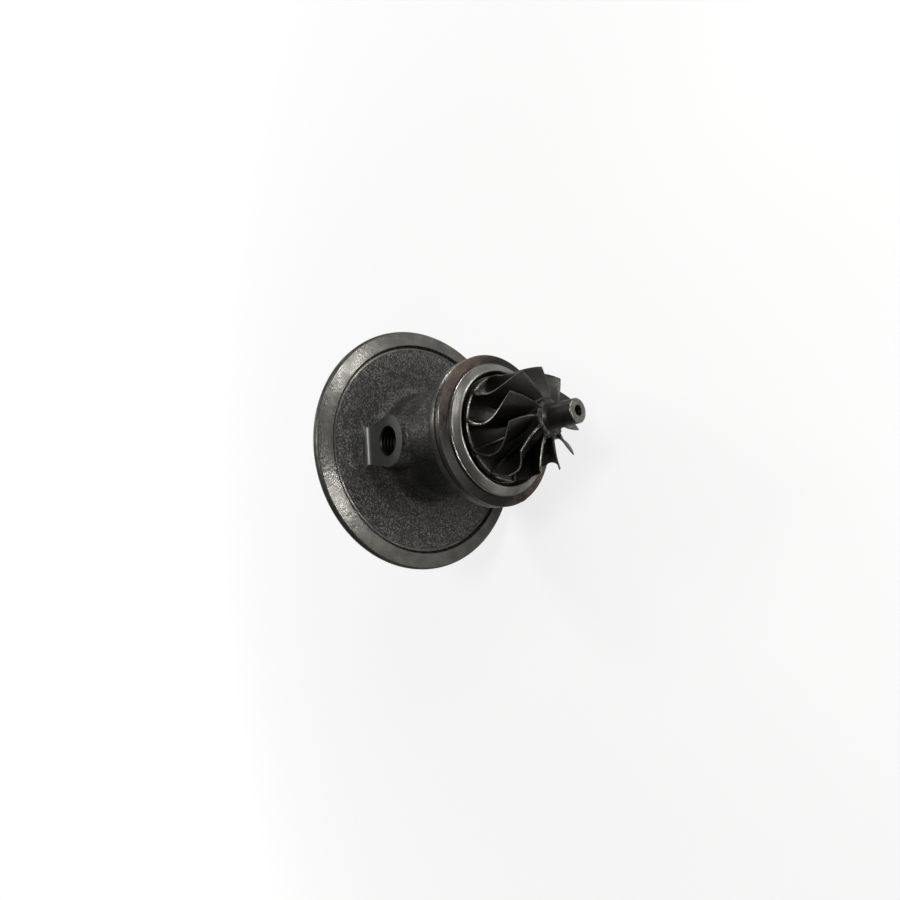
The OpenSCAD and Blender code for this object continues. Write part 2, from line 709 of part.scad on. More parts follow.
// Fixed plate with oil grooves on both faces, two pin holes and an open foot for the oil to leave
module thrust_bearing() {
    grooves = 6;
    groove_w = 1.2;
    groove_depth = 0.3;
    foot_w = 14;
    color(bronze) difference() {
        ring(thrust_sleeve_r + free, thrust_r, thrust_seat_x, thrust_seat_x - thrust_t);
        for (i = [0:grooves - 1], x = [thrust_seat_x - groove_depth, thrust_seat_x - thrust_t - bite])
            rotate([360 * i / grooves, 0, 0]) translate([x, -groove_w / 2, 0])
                cube([groove_depth + bite, groove_w, thrust_ring_d / 2]);
        for (side = [-1, 1])
            translate([thrust_seat_x - thrust_t - bite, side * pin_spacing / 2, 0]) rotate([0, 90, 0])
                cylinder(d = pin_d + 2 * slip, h = thrust_t + 2 * bite, $fn = 32);
        translate([thrust_seat_x - thrust_t - bite, -foot_w / 2, -thrust_r - bite])
            cube([thrust_t + 2 * bite, foot_w, thrust_r - thrust_ring_d / 2]);
    }
}

// Pin that keeps the thrust bearing and the deflector from turning
module thrust_pin(side) {
    color(steel) translate([deflector_back_x + gap, side * pin_spacing / 2, 0]) rotate([0, 90, 0])
        cylinder(d = pin_d, h = thrust_seat_x - deflector_back_x - gap + pin_depth, $fn = 32);
}

// Pin on the +Y side
module thrust_pin_a() {
    thrust_pin(1);
}

// Pin on the -Y side
module thrust_pin_b() {
    thrust_pin(-1);
}

// Sleeve through the thrust bearing with the flange behind it
module thrust_collar() {
    r_in = stud_r + slip;
    front_x = shoulder_x - washer_t;
    color(steel) turned([
        [r_in, front_x], [thrust_sleeve_r, front_x], [thrust_sleeve_r, collar_x],
        [thrust_ring_d / 2, collar_x], [thrust_ring_d / 2, collar_back_x], [r_in, collar_back_x]
    ]);
}

// Sheet between thrust bearing and seal plate, with a lip round the collar
module oil_deflector() {
    lip_l = 1.4;
    lip_room = 1.4;
    hole_r = thrust_ring_d / 2 + lip_room;
    color(steel) difference() {
        turned([
            [hole_r, seal_seat_x], [seal_bore_r - free, seal_seat_x],
            [seal_bore_r - free, deflector_back_x],
            [hole_r + deflector_t, deflector_back_x], [hole_r + deflector_t, deflector_back_x - lip_l],
            [hole_r, deflector_back_x - lip_l]
        ]);
        for (side = [-1, 1])
            translate([deflector_back_x - bite, side * pin_spacing / 2, 0]) rotate([0, 90, 0])
                cylinder(d = pin_d + 2 * slip, h = deflector_t + 2 * bite, $fn = 32);
    }
}

// Plate that closes the oil space behind the compressor wheel
module seal_plate() {
    step_w = 3.4;
    pocket_wall = 2.6;
    outer_r = seal_bore_r - gap;
    pocket_r = thrust_ring_d / 2 + pocket_wall;
    groove_mid_x = (deflector_back_x + circlip_x) / 2;
    groove_half = seal_ring_section / 2 + gap;
    groove_r = seal_bore_r - seal_ring_section;
    step_r = seal_bore_r - step_w;
    color(alloy) turned([
        [pocket_r, deflector_back_x], [outer_r, deflector_back_x], [outer_r, groove_mid_x + groove_half],
        [groove_r, groove_mid_x + groove_half], [groove_r, groove_mid_x - groove_half],
        [outer_r, groove_mid_x - groove_half], [outer_r, circlip_x], [step_r, circlip_x], [step_r, rear_x],
        [compressor_ring_r, rear_x], [compressor_ring_r, seal_pocket_x], [pocket_r, seal_pocket_x]
    ]);
}

// O-ring round the seal plate
module seal_plate_o_ring() {
    color(rubber)
        o_ring(seal_bore_r - seal_ring_section / 2, seal_ring_section, (deflector_back_x + circlip_x) / 2);
}

// Snap ring that holds the seal plate, with a hole in each end for the pliers
module seal_plate_circlip() {
    inward = 2.4;
    r_in = seal_bore_r - inward;
    r_out = circlip_groove_r - gap;
    hole_d = 1.5;
    end_angle = 16;
    color(spring_steel) difference() {
        split_ring(r_in, r_out, circlip_x, circlip_x - circlip_t, seal_bore_r / 4);
        for (side = [-1, 1])
            rotate([side * end_angle, 0, 0])
                translate([circlip_x - circlip_t - bite, 0, -(r_in + r_out) / 2])
                rotate([0, 90, 0]) cylinder(d = hole_d, h = circlip_t + 2 * bite, $fn = 24);
    }
}

// Sleeve between the thrust collar and the compressor wheel, with its oil flinger and ring groove
module flinger_sleeve() {
    r_in = stud_r + slip;
    r_out = compressor_ring_r - free;
    groove_r = compressor_ring_r - ring_radial - free;
    lip_r = thrust_ring_d / 2 - bite / 2;
    lip_back_x = collar_back_x - flinger_t;
    ring_front_x = compressor_ring_x + ring_clear;
    ring_back_x = compressor_ring_x - ring_w - ring_clear;
    color(steel) turned([
        [r_in, collar_back_x], [lip_r, collar_back_x], [lip_r, lip_back_x], [r_out, lip_back_x],
        [r_out, ring_front_x], [groove_r, ring_front_x], [groove_r, ring_back_x], [r_out, ring_back_x],
        [r_out, compressor_back_x], [r_in, compressor_back_x]
    ]);
}

// Split ring in the flinger sleeve
module compressor_piston_ring() {
    color(spring_steel)
        split_ring(compressor_ring_r - ring_radial, compressor_ring_r - slip, compressor_ring_x,
            compressor_ring_x - ring_w, free);
}

// Cast wheel with full blades and splitters
module compressor_wheel() {
    back_relief = 0.4;
    hub_wall = 0.5;
    hub_r = compressor_ring_r + hub_wall;
    relief_x = compressor_back_x - back_relief;
    hub = function(s)
        quarter(compressor_front_x, compressor_r - slip, compressor_nose_x + bite, compressor_nose_r, s);
    tip_out_x = compressor_front_x - compressor_out_w;
    tip_in_x = compressor_nose_x + 2 * bite;
    tip = function(s) quarter(tip_out_x, compressor_r - tip_relief, tip_in_x, compressor_in_r, s);
    turn = function(s, x) compressor_turn * pow(s, 2) - compressor_sweep * pow(1 - s, 2);
    color(alloy) difference() {
        union() {
            turned(concat(
                [[0, compressor_back_x], [hub_r, compressor_back_x], [hub_r + edge, relief_x]],
                [[compressor_r, relief_x], [compressor_r, compressor_front_x]],
                [for (i = [1:hub_steps]) let (p = hub(i / hub_steps)) [p[1], p[0]]],
                [[compressor_nose_r - edge, compressor_nose_x], [0, compressor_nose_x]]
            ));
            for (i = [0:compressor_blades - 1]) {
                rotate([360 * i / compressor_blades, 0, 0])
                    blade(hub, tip, turn, compressor_root_t, compressor_tip_t, nh = 3);
                rotate([360 * (i + 0.5) / compressor_blades, 0, 0])
                    blade(hub, tip, turn, compressor_root_t, compressor_tip_t, splitter_start,
                        ns = 8, nh = 3);
            }
        }
        translate([compressor_nose_x - bite, 0, 0]) rotate([0, 90, 0])
            cylinder(r = stud_r + slip, h = compressor_h + 2 * bite);
    }
}

// Flanged hexagon nut that clamps the rotor's pieces
module lock_nut() {
    across_flats = 8;
    collar_l = 1;
    color(steel) difference() {
        union() {
            translate([nut_end_x, 0, 0]) rotate([0, 90, 0])
                cylinder(d = across_flats / cos(30), h = nut_l, $fn = 6);
            ring(0, compressor_nose_r - edge, compressor_nose_x, compressor_nose_x - collar_l);
        }
        translate([nut_end_x - bite, 0, 0]) rotate([0, 90, 0])
            cylinder(r = stud_r + slip, h = nut_l + 2 * bite);
    }
}

// O-ring on the spigot behind the disc
module cover_o_ring() {
    color(rubber) o_ring(cover_groove_r + cover_ring_section / 2, cover_ring_section, cover_groove_x);
}

bearing_housing();
heat_shield();
turbine_wheel();
shaft();
turbine_piston_ring();
turbine_bush();
compressor_bush();
turbine_bush_snap_front();
turbine_bush_snap_back();
compressor_bush_snap_front();
compressor_bush_snap_back();
thrust_washer();
thrust_bearing();
thrust_pin_a();
thrust_pin_b();
thrust_collar();
oil_deflector();
seal_plate();
seal_plate_o_ring();
seal_plate_circlip();
flinger_sleeve();
compressor_piston_ring();
compressor_wheel();
lock_nut();
cover_o_ring();
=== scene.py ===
# %% [markdown]
# # A turbocharger cartridge
# The cartridge is the heart of a small turbocharger: an iron bearing housing with a turbine wheel at one
# end and a compressor wheel at the other, on one shaft. The solids come from the part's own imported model,
# which is loaded as a fixed frame. This lesson gives them their finishes, and remodels the pieces whose
# surface is the point: the casting, the pressed shield, the two bladed wheels, the shaft and its nut.

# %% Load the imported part
import json
import math
from collections import Counter

import bpy
from mathutils import Matrix, Vector


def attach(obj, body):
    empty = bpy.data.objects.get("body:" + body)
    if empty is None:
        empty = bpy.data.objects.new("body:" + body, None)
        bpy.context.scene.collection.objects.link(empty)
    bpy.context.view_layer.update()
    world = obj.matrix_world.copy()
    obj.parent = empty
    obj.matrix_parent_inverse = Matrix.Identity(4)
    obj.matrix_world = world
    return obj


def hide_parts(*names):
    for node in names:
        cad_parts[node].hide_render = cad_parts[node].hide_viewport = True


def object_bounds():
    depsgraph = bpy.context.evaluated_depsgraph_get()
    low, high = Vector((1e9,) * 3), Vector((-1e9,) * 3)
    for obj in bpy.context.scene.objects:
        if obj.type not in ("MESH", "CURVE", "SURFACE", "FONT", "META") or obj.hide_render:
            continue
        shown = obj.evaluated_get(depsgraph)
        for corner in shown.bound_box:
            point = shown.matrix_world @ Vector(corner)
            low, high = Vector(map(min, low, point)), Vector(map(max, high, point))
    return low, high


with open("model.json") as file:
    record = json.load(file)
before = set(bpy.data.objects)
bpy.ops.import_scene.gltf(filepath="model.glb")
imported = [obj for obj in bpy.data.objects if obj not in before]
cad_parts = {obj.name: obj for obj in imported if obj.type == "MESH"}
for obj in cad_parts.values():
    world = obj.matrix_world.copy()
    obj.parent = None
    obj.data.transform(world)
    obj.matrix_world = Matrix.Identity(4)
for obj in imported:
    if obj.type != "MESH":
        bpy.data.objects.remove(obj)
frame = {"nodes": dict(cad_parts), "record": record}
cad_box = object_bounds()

MM = 0.001
MICRON = 0.001 * MM
scene = bpy.context.scene

# %% [markdown]
# ## Camera
# The photograph was taken from close by with a wide lens, so the near turbine end looks large against the
# disc. A camera could be aimed by eye, but here its place and its three axes were fitted to the rims of the
# disc, the flange, the shield and the nose. The axes go straight into a rotation matrix.

# %% Camera
eye = Vector((122.4, -27.5, 125.6)) * MM
image_right = Vector((0.62850, -0.07593, -0.77410))
image_up = Vector((0.14242, 0.98963, 0.01857))
look = image_up.cross(image_right)
bpy.ops.object.select_all(action="DESELECT")
bpy.ops.object.camera_add(location=eye)
camera = bpy.context.object
camera.name = "photo_camera"
camera.rotation_euler = Matrix((image_right, image_up, -look)).transposed().to_euler()
camera.data.sensor_width = 36.0
camera.data.lens = 19.2
camera.data.clip_start = 0.01
scene.camera = camera
print("camera at", [round(v, 4) for v in eye], "looking along", [round(v, 3) for v in look])

# %% [markdown]
# ## Nodes and colours
# Every finish below is a small node tree. One helper adds a node, sets its values and links its inputs, so
# that a finish reads as a list of layers. Colours are written as sRGB hex values, as a colour picker shows
# them, and one function turns them into the linear values that Blender calculates with.

# %% Node and colour helpers
def linear(hex_colour):
    """The linear RGBA of an sRGB hex colour such as "8a8a86"."""
    parts = [int(hex_colour[i:i + 2], 16) / 255 for i in (0, 2, 4)]
    return [c / 12.92 if c <= 0.04045 else ((c + 0.055) / 1.055) ** 2.4 for c in parts] + [1.0]


def add(tree, kind, inputs=None, **settings):
    """Adds a node, sets its attributes, and sets or links its inputs by name or number."""
    node = tree.nodes.new("ShaderNode" + kind)
    for name, value in settings.items():
        setattr(node, name, value)
    for key, value in (inputs or {}).items():
        if isinstance(value, bpy.types.NodeSocket):
            tree.links.new(value, node.inputs[key])
        else:
            node.inputs[key].default_value = value
    return node


def new_material(name):
    """An empty material with its tree, its Object coordinates and its Principled shader."""
    material = bpy.data.materials.new(name)
    material.use_nodes = True
    tree = material.node_tree
    tree.nodes.clear()
    shader = add(tree, "BsdfPrincipled")
    add(tree, "OutputMaterial", {"Surface": shader.outputs["BSDF"]})
    coords = add(tree, "TexCoord").outputs["Object"]
    return material, tree, shader, coords


print("mid grey is", [round(c, 3) for c in linear("808080")])

# %% [markdown]
# ## Stage and light
# The part stands on a plain pale floor under studio light. The background is white: the world shows
# strength 1 to the camera, and so does the floor away from the part, so that its far edge is lost, while
# close by it keeps the shadow. The light that falls on the part itself stays at a plain level. The room in
# front of the part is dimmer than the sweep behind it, as in a real studio, and that is what gives dark
# metal its contrast. One lamp would give the form, but bare metal shows only what it mirrors, so each lamp
# has its own task: the key for the shield, one overhead for edges and fillets, two small ones in front for
# the land, two behind for the waist.

# %% Floor
FLOOR_Z = cad_box[0][2]
bpy.ops.object.select_all(action="DESELECT")
bpy.ops.mesh.primitive_plane_add(size=8, location=(0, 0, FLOOR_Z))
floor = bpy.context.object
floor.name = "studio_floor"
paper, tree, shader, coords = new_material("white_paper_sweep")
shader.inputs["Base Color"].default_value = linear("dcdcda")
shader.inputs["Roughness"].default_value = 0.9
rays = add(tree, "LightPath")
away = add(tree, "VectorMath", {0: coords}, operation="LENGTH")
NEAR, FAR, GLOW_NEAR = 150 * MM, 600 * MM, 0.78
white = add(tree, "MapRange", {"Value": away.outputs["Value"], "From Min": NEAR, "From Max": FAR,
                               "To Min": GLOW_NEAR})
share = add(tree, "Math", {0: rays.outputs["Is Camera Ray"], 1: white.outputs[0]}, operation="MULTIPLY")
glow = add(tree, "Emission", {"Strength": 1.0})
both = add(tree, "MixShader", {0: share.outputs[0], 1: shader.outputs["BSDF"], 2: glow.outputs[0]})
tree.links.new(both.outputs[0], tree.nodes["Material Output"].inputs["Surface"])
floor.data.materials.append(paper)
print("floor at", round(FLOOR_Z / MM, 2), "mm")

# %% World
world = bpy.data.worlds.new("studio_room")
scene.world = world
world.use_nodes = True
tree = world.node_tree
tree.nodes.clear()
direction = add(tree, "TexCoord").outputs["Generated"]
dim_side = Vector((0.62, -0.62, 0.48))
facing = add(tree, "VectorMath", {0: direction, 1: dim_side}, operation="DOT_PRODUCT")
BRIGHT_LEVEL, DIM_LEVEL, FILL_LEVEL, WHITE_LEVEL = 0.5, 0.18, 0.2, 1.0
room = add(tree, "MapRange", {"Value": facing.outputs["Value"], "From Min": -0.3, "From Max": 0.5,
                              "To Min": BRIGHT_LEVEL, "To Max": DIM_LEVEL})
rays = add(tree, "LightPath")
ambient = add(tree, "Mix", {0: rays.outputs["Is Glossy Ray"], 2: FILL_LEVEL, 3: room.outputs[0]},
              data_type="FLOAT")
level = add(tree, "Mix", {0: rays.outputs["Is Camera Ray"], 2: ambient.outputs[0], 3: WHITE_LEVEL},
            data_type="FLOAT")
sky = add(tree, "Background", {"Color": (1, 1, 1, 1), "Strength": level.outputs[0]})
add(tree, "OutputWorld", {"Surface": sky.outputs[0]})
scene.view_settings.view_transform = "Standard"
print("world set")

# %% Lamps
lamps = {
    "key_softbox": {"from": (0.62, 0.62, 0.50), "distance": 0.8, "size": 0.26, "power": 2.0},
    "overhead_box": {"from": (0.46, 0.15, 0.87), "distance": 0.8, "size": 0.16, "power": 3.0},
    "front_upper": {"from": (0.79, 0.60, -0.12), "distance": 0.24, "size": 0.04, "power": 0.15},
    "front_lower": {"from": (0.988, -0.137, -0.067), "distance": 0.27, "size": 0.05, "power": 0.26},
    "rear_box": {"from": (-0.30, 0.92, 0.25), "distance": 0.8, "size": 0.2, "power": 0.8},
    "rear_left_box": {"from": (-0.55, 0.38, 0.75), "distance": 0.8, "size": 0.2, "power": 1.8},
}
aim = Vector((-15, 0, 0)) * MM
for name, lamp in lamps.items():
    place = aim + Vector(lamp["from"]).normalized() * lamp["distance"]
    bpy.ops.object.light_add(type="AREA", location=place)
    light = bpy.context.object
    light.name = name
    light.data.size = lamp["size"]
    light.data.energy = lamp["power"]
    light.rotation_euler = (place - aim).to_track_quat("Z", "Y").to_euler()
    print(name, "at", [round(v, 2) for v in place])

# %% [markdown]
# ## Iron, as cast
# The housing is grey iron poured in a sand mould. The sand leaves a granular skin, dark with oxide, in
# which single grains catch the light. Soft noise would look like worms, so the grains are cells: every cell
# is a small dome with a tone and a gloss of its own, and only the brightest few sparkle. Moulding sand is
# about 0.3 mm; it is drawn at 0.5 mm, because finer grain would not show at this size of picture. Under the
# inlet boss the skin is painted near black, a painted shade for the shadow under the boss and the waist;
# it is a soft ball round a point, with its edge broken up by noise.

# %% Sand-cast iron
cast_iron, tree, shader, coords = new_material("grey_iron_sand_cast")
GRAIN = 1 / (0.5 * MM)
cells = add(tree, "TexVoronoi", {"Vector": coords, "Scale": GRAIN, "Randomness": 1.0})
lot = add(tree, "SeparateColor", {0: cells.outputs["Color"]})
blotch = add(tree, "TexNoise", {"Vector": coords, "Scale": 1 / (9 * MM), "Detail": 2.0})
spark = add(tree, "MapRange", {"Value": lot.outputs["Red"], "From Min": 0.45, "From Max": 1.0})
dull = add(tree, "Mix", {0: spark.outputs[0], 6: linear("282826"), 7: linear("62615d")}, data_type="RGBA")
stain = add(tree, "MapRange", {"Value": blotch.outputs["Fac"], "From Min": 0.4, "From Max": 0.75,
                               "To Max": 0.5})
skin = add(tree, "Mix", {0: stain.outputs[0], 6: dull.outputs[2], 7: linear("322f2c")}, data_type="RGBA")
# Painted shade: near black in a ragged ball round a point under the inlet boss, for the shadow under the boss
# and waist.
shade_under_boss_centre = Vector((-21, -20, 11)) * MM
reach = add(tree, "VectorMath", {0: coords, 1: shade_under_boss_centre}, operation="DISTANCE")
shade_edge_reach = add(tree, "Math", {0: blotch.outputs["Fac"], 1: 12 * MM, 2: reach.outputs["Value"]},
             operation="MULTIPLY_ADD")
painted_shade_under_boss = add(tree, "MapRange", {"Value": shade_edge_reach.outputs[0], "From Min": 16 * MM, "From Max": 29 * MM,
                                "To Min": 0.9, "To Max": 0.0})
skin = add(tree, "Mix", {0: painted_shade_under_boss.outputs[0], 6: skin.outputs[2], 7: linear("11100f")}, data_type="RGBA")
gloss = add(tree, "MapRange", {"Value": lot.outputs["Red"], "From Min": 0.3, "To Min": 0.62, "To Max": 0.3})
dome = add(tree, "Math", {0: 1.0, 1: cells.outputs["Distance"]}, operation="SUBTRACT")
level = add(tree, "Math", {0: lot.outputs["Green"], 1: 0.6, 2: dome.outputs[0]}, operation="MULTIPLY_ADD")
height = add(tree, "Bump", {"Height": level.outputs[0], "Strength": 0.7, "Distance": 0.2 * MM})
shader.inputs["Metallic"].default_value = 0.55
tree.links.new(skin.outputs[2], shader.inputs["Base Color"])
tree.links.new(gloss.outputs[0], shader.inputs["Roughness"])
tree.links.new(height.outputs[0], shader.inputs["Normal"])
print(cast_iron.name, "grain scale", round(GRAIN))

# %% [markdown]
# ## Iron, as turned
# Where the housing meets its neighbours it was turned on a lathe, so the bare metal shows and carries fine
# rings from the tool. The rings are drawn from radius plus place along the axis, which gives circles on a
# face and bands on a cylinder from one formula. The tool's real feed is about 0.15 mm; it is drawn at 0.5
# mm so that it shows. Between the rings the metal is bright along the tool's path and blurred across it, so
# highlights run out radially.

# %% Turned iron
def ring_lines(tree, coords, pitch):
    """A sine of radius plus place along the rotor axis, with one wave per pitch in millimetres."""
    xyz = add(tree, "SeparateXYZ", {0: coords})
    flat = add(tree, "CombineXYZ", {"Y": xyz.outputs["Y"], "Z": xyz.outputs["Z"]})
    radius = add(tree, "VectorMath", {0: flat.outputs[0]}, operation="LENGTH")
    along = add(tree, "Math", {0: radius.outputs["Value"], 1: xyz.outputs["X"]}, operation="ADD")
    turns = add(tree, "Math", {0: along.outputs[0], 1: math.tau / (pitch * MM)}, operation="MULTIPLY")
    return add(tree, "Math", {0: turns.outputs[0]}, operation="SINE").outputs[0]


turned_iron, tree, shader, coords = new_material("grey_iron_turned")
lines = ring_lines(tree, coords, 0.5)
around = add(tree, "VectorMath", {0: (1, 0, 0), 1: coords}, operation="CROSS_PRODUCT")
tangent = add(tree, "VectorTransform", {0: around.outputs[0]}, vector_type="VECTOR", convert_from="OBJECT",
              convert_to="WORLD")
patch = add(tree, "TexNoise", {"Vector": coords, "Scale": 1 / (7 * MM), "Detail": 3.0, "Roughness": 0.5})
pit = add(tree, "TexNoise", {"Vector": coords, "Scale": 1 / (1.1 * MM), "Detail": 1.0})
worn = add(tree, "MapRange", {"Value": patch.outputs["Fac"], "From Min": 0.35, "From Max": 0.7})
metal = add(tree, "Mix", {0: worn.outputs[0], 6: linear("585753"), 7: linear("6f6e69")}, data_type="RGBA")
gloss = add(tree, "MapRange", {"Value": patch.outputs["Fac"], "From Min": 0.35, "From Max": 0.7,
                               "To Min": 0.32, "To Max": 0.2})
uneven = add(tree, "Math", {0: lines, 1: 0.13, 2: pit.outputs["Fac"]}, operation="MULTIPLY_ADD")
height = add(tree, "Bump", {"Height": uneven.outputs[0], "Strength": 0.7, "Distance": 0.14 * MM})
shader.inputs["Metallic"].default_value = 1.0
shader.inputs["Anisotropic"].default_value = 0.5
shader.inputs["Anisotropic Rotation"].default_value = 0.25
tree.links.new(tangent.outputs[0], shader.inputs["Tangent"])
tree.links.new(metal.outputs[2], shader.inputs["Base Color"])
tree.links.new(gloss.outputs[0], shader.inputs["Roughness"])
tree.links.new(height.outputs[0], shader.inputs["Normal"])
print(turned_iron.name)

# %% [markdown]
# ## Iron, oxidised and milled
# The face of the turbine flange was turned too, but it has stood in damp air and carries a thin brown oxide
# in patches, more on two sides than between them, so it is less metallic and rougher there. The flat round
# the oil inlet was milled: smooth, dark with a film of oil, and crossed by shallow arcs from the cutter,
# which are drawn as waves round a point beyond the flat.

# %% Oxidised iron
rusty_iron, tree, shader, coords = new_material("grey_iron_turned_and_oxidised")
lines = ring_lines(tree, coords, 0.7)
cloud = add(tree, "TexNoise", {"Vector": coords, "Scale": 1 / (6 * MM), "Detail": 5.0, "Roughness": 0.7})
speck = add(tree, "TexNoise", {"Vector": coords, "Scale": 1 / (0.9 * MM), "Detail": 2.0})
damp_way = Vector((0, 0.7, 0.7)) / (26 * MM)
across = add(tree, "VectorMath", {0: coords, 1: damp_way}, operation="DOT_PRODUCT")
sides = add(tree, "Math", {0: across.outputs["Value"], 1: across.outputs["Value"]}, operation="MULTIPLY")
damp = add(tree, "Math", {0: sides.outputs[0], 1: 0.5, 2: cloud.outputs["Fac"]}, operation="MULTIPLY_ADD")
rust = add(tree, "MapRange", {"Value": damp.outputs[0], "From Min": 0.72, "From Max": 1.1})
fleck = add(tree, "MapRange", {"Value": speck.outputs["Fac"], "From Min": 0.4, "From Max": 0.72})
browned = add(tree, "Mix", {0: fleck.outputs[0], 6: linear("352921"), 7: linear("573d2d")}, data_type="RGBA")
metal = add(tree, "Mix", {0: rust.outputs[0], 6: linear("1e1d1c"), 7: browned.outputs[2]}, data_type="RGBA")
shine = add(tree, "MapRange", {"Value": rust.outputs[0], "To Min": 0.9, "To Max": 0.25})
gloss = add(tree, "MapRange", {"Value": rust.outputs[0], "To Min": 0.38, "To Max": 0.66})
uneven = add(tree, "Math", {0: lines, 1: 0.2, 2: speck.outputs["Fac"]}, operation="MULTIPLY_ADD")
height = add(tree, "Bump", {"Height": uneven.outputs[0], "Strength": 0.3, "Distance": 0.1 * MM})
tree.links.new(metal.outputs[2], shader.inputs["Base Color"])
tree.links.new(shine.outputs[0], shader.inputs["Metallic"])
tree.links.new(gloss.outputs[0], shader.inputs["Roughness"])
tree.links.new(height.outputs[0], shader.inputs["Normal"])
print(rusty_iron.name)

# %% Milled iron
milled_iron, tree, shader, coords = new_material("grey_iron_milled")
cutter_offset = Vector((62, 4, 0)) * MM
place = add(tree, "Mapping", {"Vector": coords, "Location": cutter_offset})
reach = add(tree, "VectorMath", {0: place.outputs[0]}, operation="LENGTH")
turns = add(tree, "Math", {0: reach.outputs["Value"], 1: math.tau / (0.6 * MM)}, operation="MULTIPLY")
arcs = add(tree, "Math", {0: turns.outputs[0]}, operation="SINE")
haze = add(tree, "TexNoise", {"Vector": coords, "Scale": 1 / (5 * MM), "Detail": 3.0})
metal = add(tree, "Mix", {0: haze.outputs["Fac"], 6: linear("454543"), 7: linear("636360")}, data_type="RGBA")
gloss = add(tree, "MapRange", {"Value": haze.outputs["Fac"], "To Min": 0.46, "To Max": 0.32})
height = add(tree, "Bump", {"Height": arcs.outputs[0], "Strength": 0.2, "Distance": 0.03 * MM})
shader.inputs["Metallic"].default_value = 0.7
tree.links.new(metal.outputs[2], shader.inputs["Base Color"])
tree.links.new(gloss.outputs[0], shader.inputs["Roughness"])
tree.links.new(height.outputs[0], shader.inputs["Normal"])
print(milled_iron.name)

# %% [markdown]
# ## The other metals and the rubber
# The remaining finishes differ in colour, gloss and grain but share one build: a base tone that drifts to a
# second tone in soft clouds, a fine grain, and for turned pieces the ring lines of the lathe. Each call
# below makes one real material. Its name says how the surface was made, and then come its two tones, how
# metallic and how rough it is, the sizes of its clouds and grain in millimetres, the strength of its relief
# and, in millimetres too, the pitch of its turning lines.

# %% Shared finish
GLOSS_DRIFT, RING_SHARE = 0.08, 0.3


def finish(name, tones, metallic, roughness, cloud_mm, grain_mm, relief, pitch=0.0):
    """A finish of two tones in soft clouds, with a grain and, where pitch is set, turning lines."""
    material, tree, shader, coords = new_material(name)
    cloud = add(tree, "TexNoise", {"Vector": coords, "Scale": 1 / (cloud_mm * MM), "Detail": 4.0,
                                   "Roughness": 0.6})
    grain = add(tree, "TexNoise", {"Vector": coords, "Scale": 1 / (grain_mm * MM), "Detail": 2.0})
    drift = add(tree, "MapRange", {"Value": cloud.outputs["Fac"], "From Min": 0.35, "From Max": 0.68})
    first, second = linear(tones[0]), linear(tones[1])
    colour = add(tree, "Mix", {0: drift.outputs[0], 6: first, 7: second}, data_type="RGBA")
    gloss = add(tree, "MapRange", {"Value": cloud.outputs["Fac"], "From Min": 0.3, "From Max": 0.7,
                                   "To Min": roughness + GLOSS_DRIFT, "To Max": roughness - GLOSS_DRIFT})
    height = grain.outputs["Fac"]
    if pitch:
        lines = ring_lines(tree, coords, pitch)
        height = add(tree, "Math", {0: lines, 1: RING_SHARE, 2: height}, operation="MULTIPLY_ADD").outputs[0]
    bump = add(tree, "Bump", {"Height": height, "Strength": relief, "Distance": 0.1 * MM})
    shader.inputs["Metallic"].default_value = metallic
    tree.links.new(colour.outputs[2], shader.inputs["Base Color"])
    tree.links.new(gloss.outputs[0], shader.inputs["Roughness"])
    tree.links.new(bump.outputs[0], shader.inputs["Normal"])
    print(name)
    return material


pressed_steel = finish("sheet_steel_pressed_heat_dulled", ("5e5d59", "807f79"), metallic=1.0,
                       roughness=0.32, cloud_mm=8, grain_mm=0.7, relief=0.35, pitch=0.6)
cast_alloy = finish("nickel_alloy_investment_cast", ("242321", "373532"), metallic=0.9,
                    roughness=0.40, cloud_mm=6, grain_mm=0.7, relief=0.22)
ground_alloy = finish("nickel_alloy_ground_edge", ("524f4a", "7b776f"), metallic=1.0,
                      roughness=0.30, cloud_mm=2, grain_mm=0.6, relief=0.15)
ground_steel = finish("alloy_steel_ground", ("a9a9a6", "c2c2be"), metallic=1.0,
                      roughness=0.26, cloud_mm=5, grain_mm=0.6, relief=0.12, pitch=0.4)
spring_steel = finish("spring_steel_blackened", ("2c2c2e", "45454a"), metallic=0.9,
                      roughness=0.42, cloud_mm=3, grain_mm=0.6, relief=0.2)
# Painted shade: a rougher copy of the turned iron in darker tones, for outer edges that mirror the dim room.
dulled_and_shaded_iron = finish("grey_iron_turned_dulled", ("363532", "4c4b47"), metallic=0.9,
                     roughness=0.42, cloud_mm=4, grain_mm=0.6, relief=0.2, pitch=0.5)
# Painted shade: cut iron given a near black tone for the shade deep inside the tapped inlet hole.
cut_iron_painted_dark = finish("grey_iron_cut_and_oily", ("191817", "2d2b28"), metallic=1.0,
                   roughness=0.34, cloud_mm=2, grain_mm=0.6, relief=0.2)
bronze = finish("bearing_bronze_turned", ("a8713f", "c08a52"), metallic=1.0,
                roughness=0.32, cloud_mm=4, grain_mm=0.6, relief=0.15, pitch=0.4)
cast_aluminium = finish("aluminium_plaster_cast", ("b9babb", "cfd0d1"), metallic=1.0,
                        roughness=0.38, cloud_mm=6, grain_mm=0.5, relief=0.18)
turned_aluminium = finish("aluminium_turned", ("bfc0c1", "d6d7d8"), metallic=1.0,
                          roughness=0.30, cloud_mm=8, grain_mm=0.6, relief=0.15, pitch=0.5)
seal_rubber = finish("nitrile_rubber_moulded", ("161616", "232323"), metallic=0.0,
                     roughness=0.5, cloud_mm=4, grain_mm=0.5, relief=0.15)

# %% [markdown]
# ## Finishes for the solids that stay
# The small inner pieces are plain turned or pressed shapes, so their solids stay as they are and only get a
# finish. The record names a material slot for each of them, and one table turns a slot into a finish.

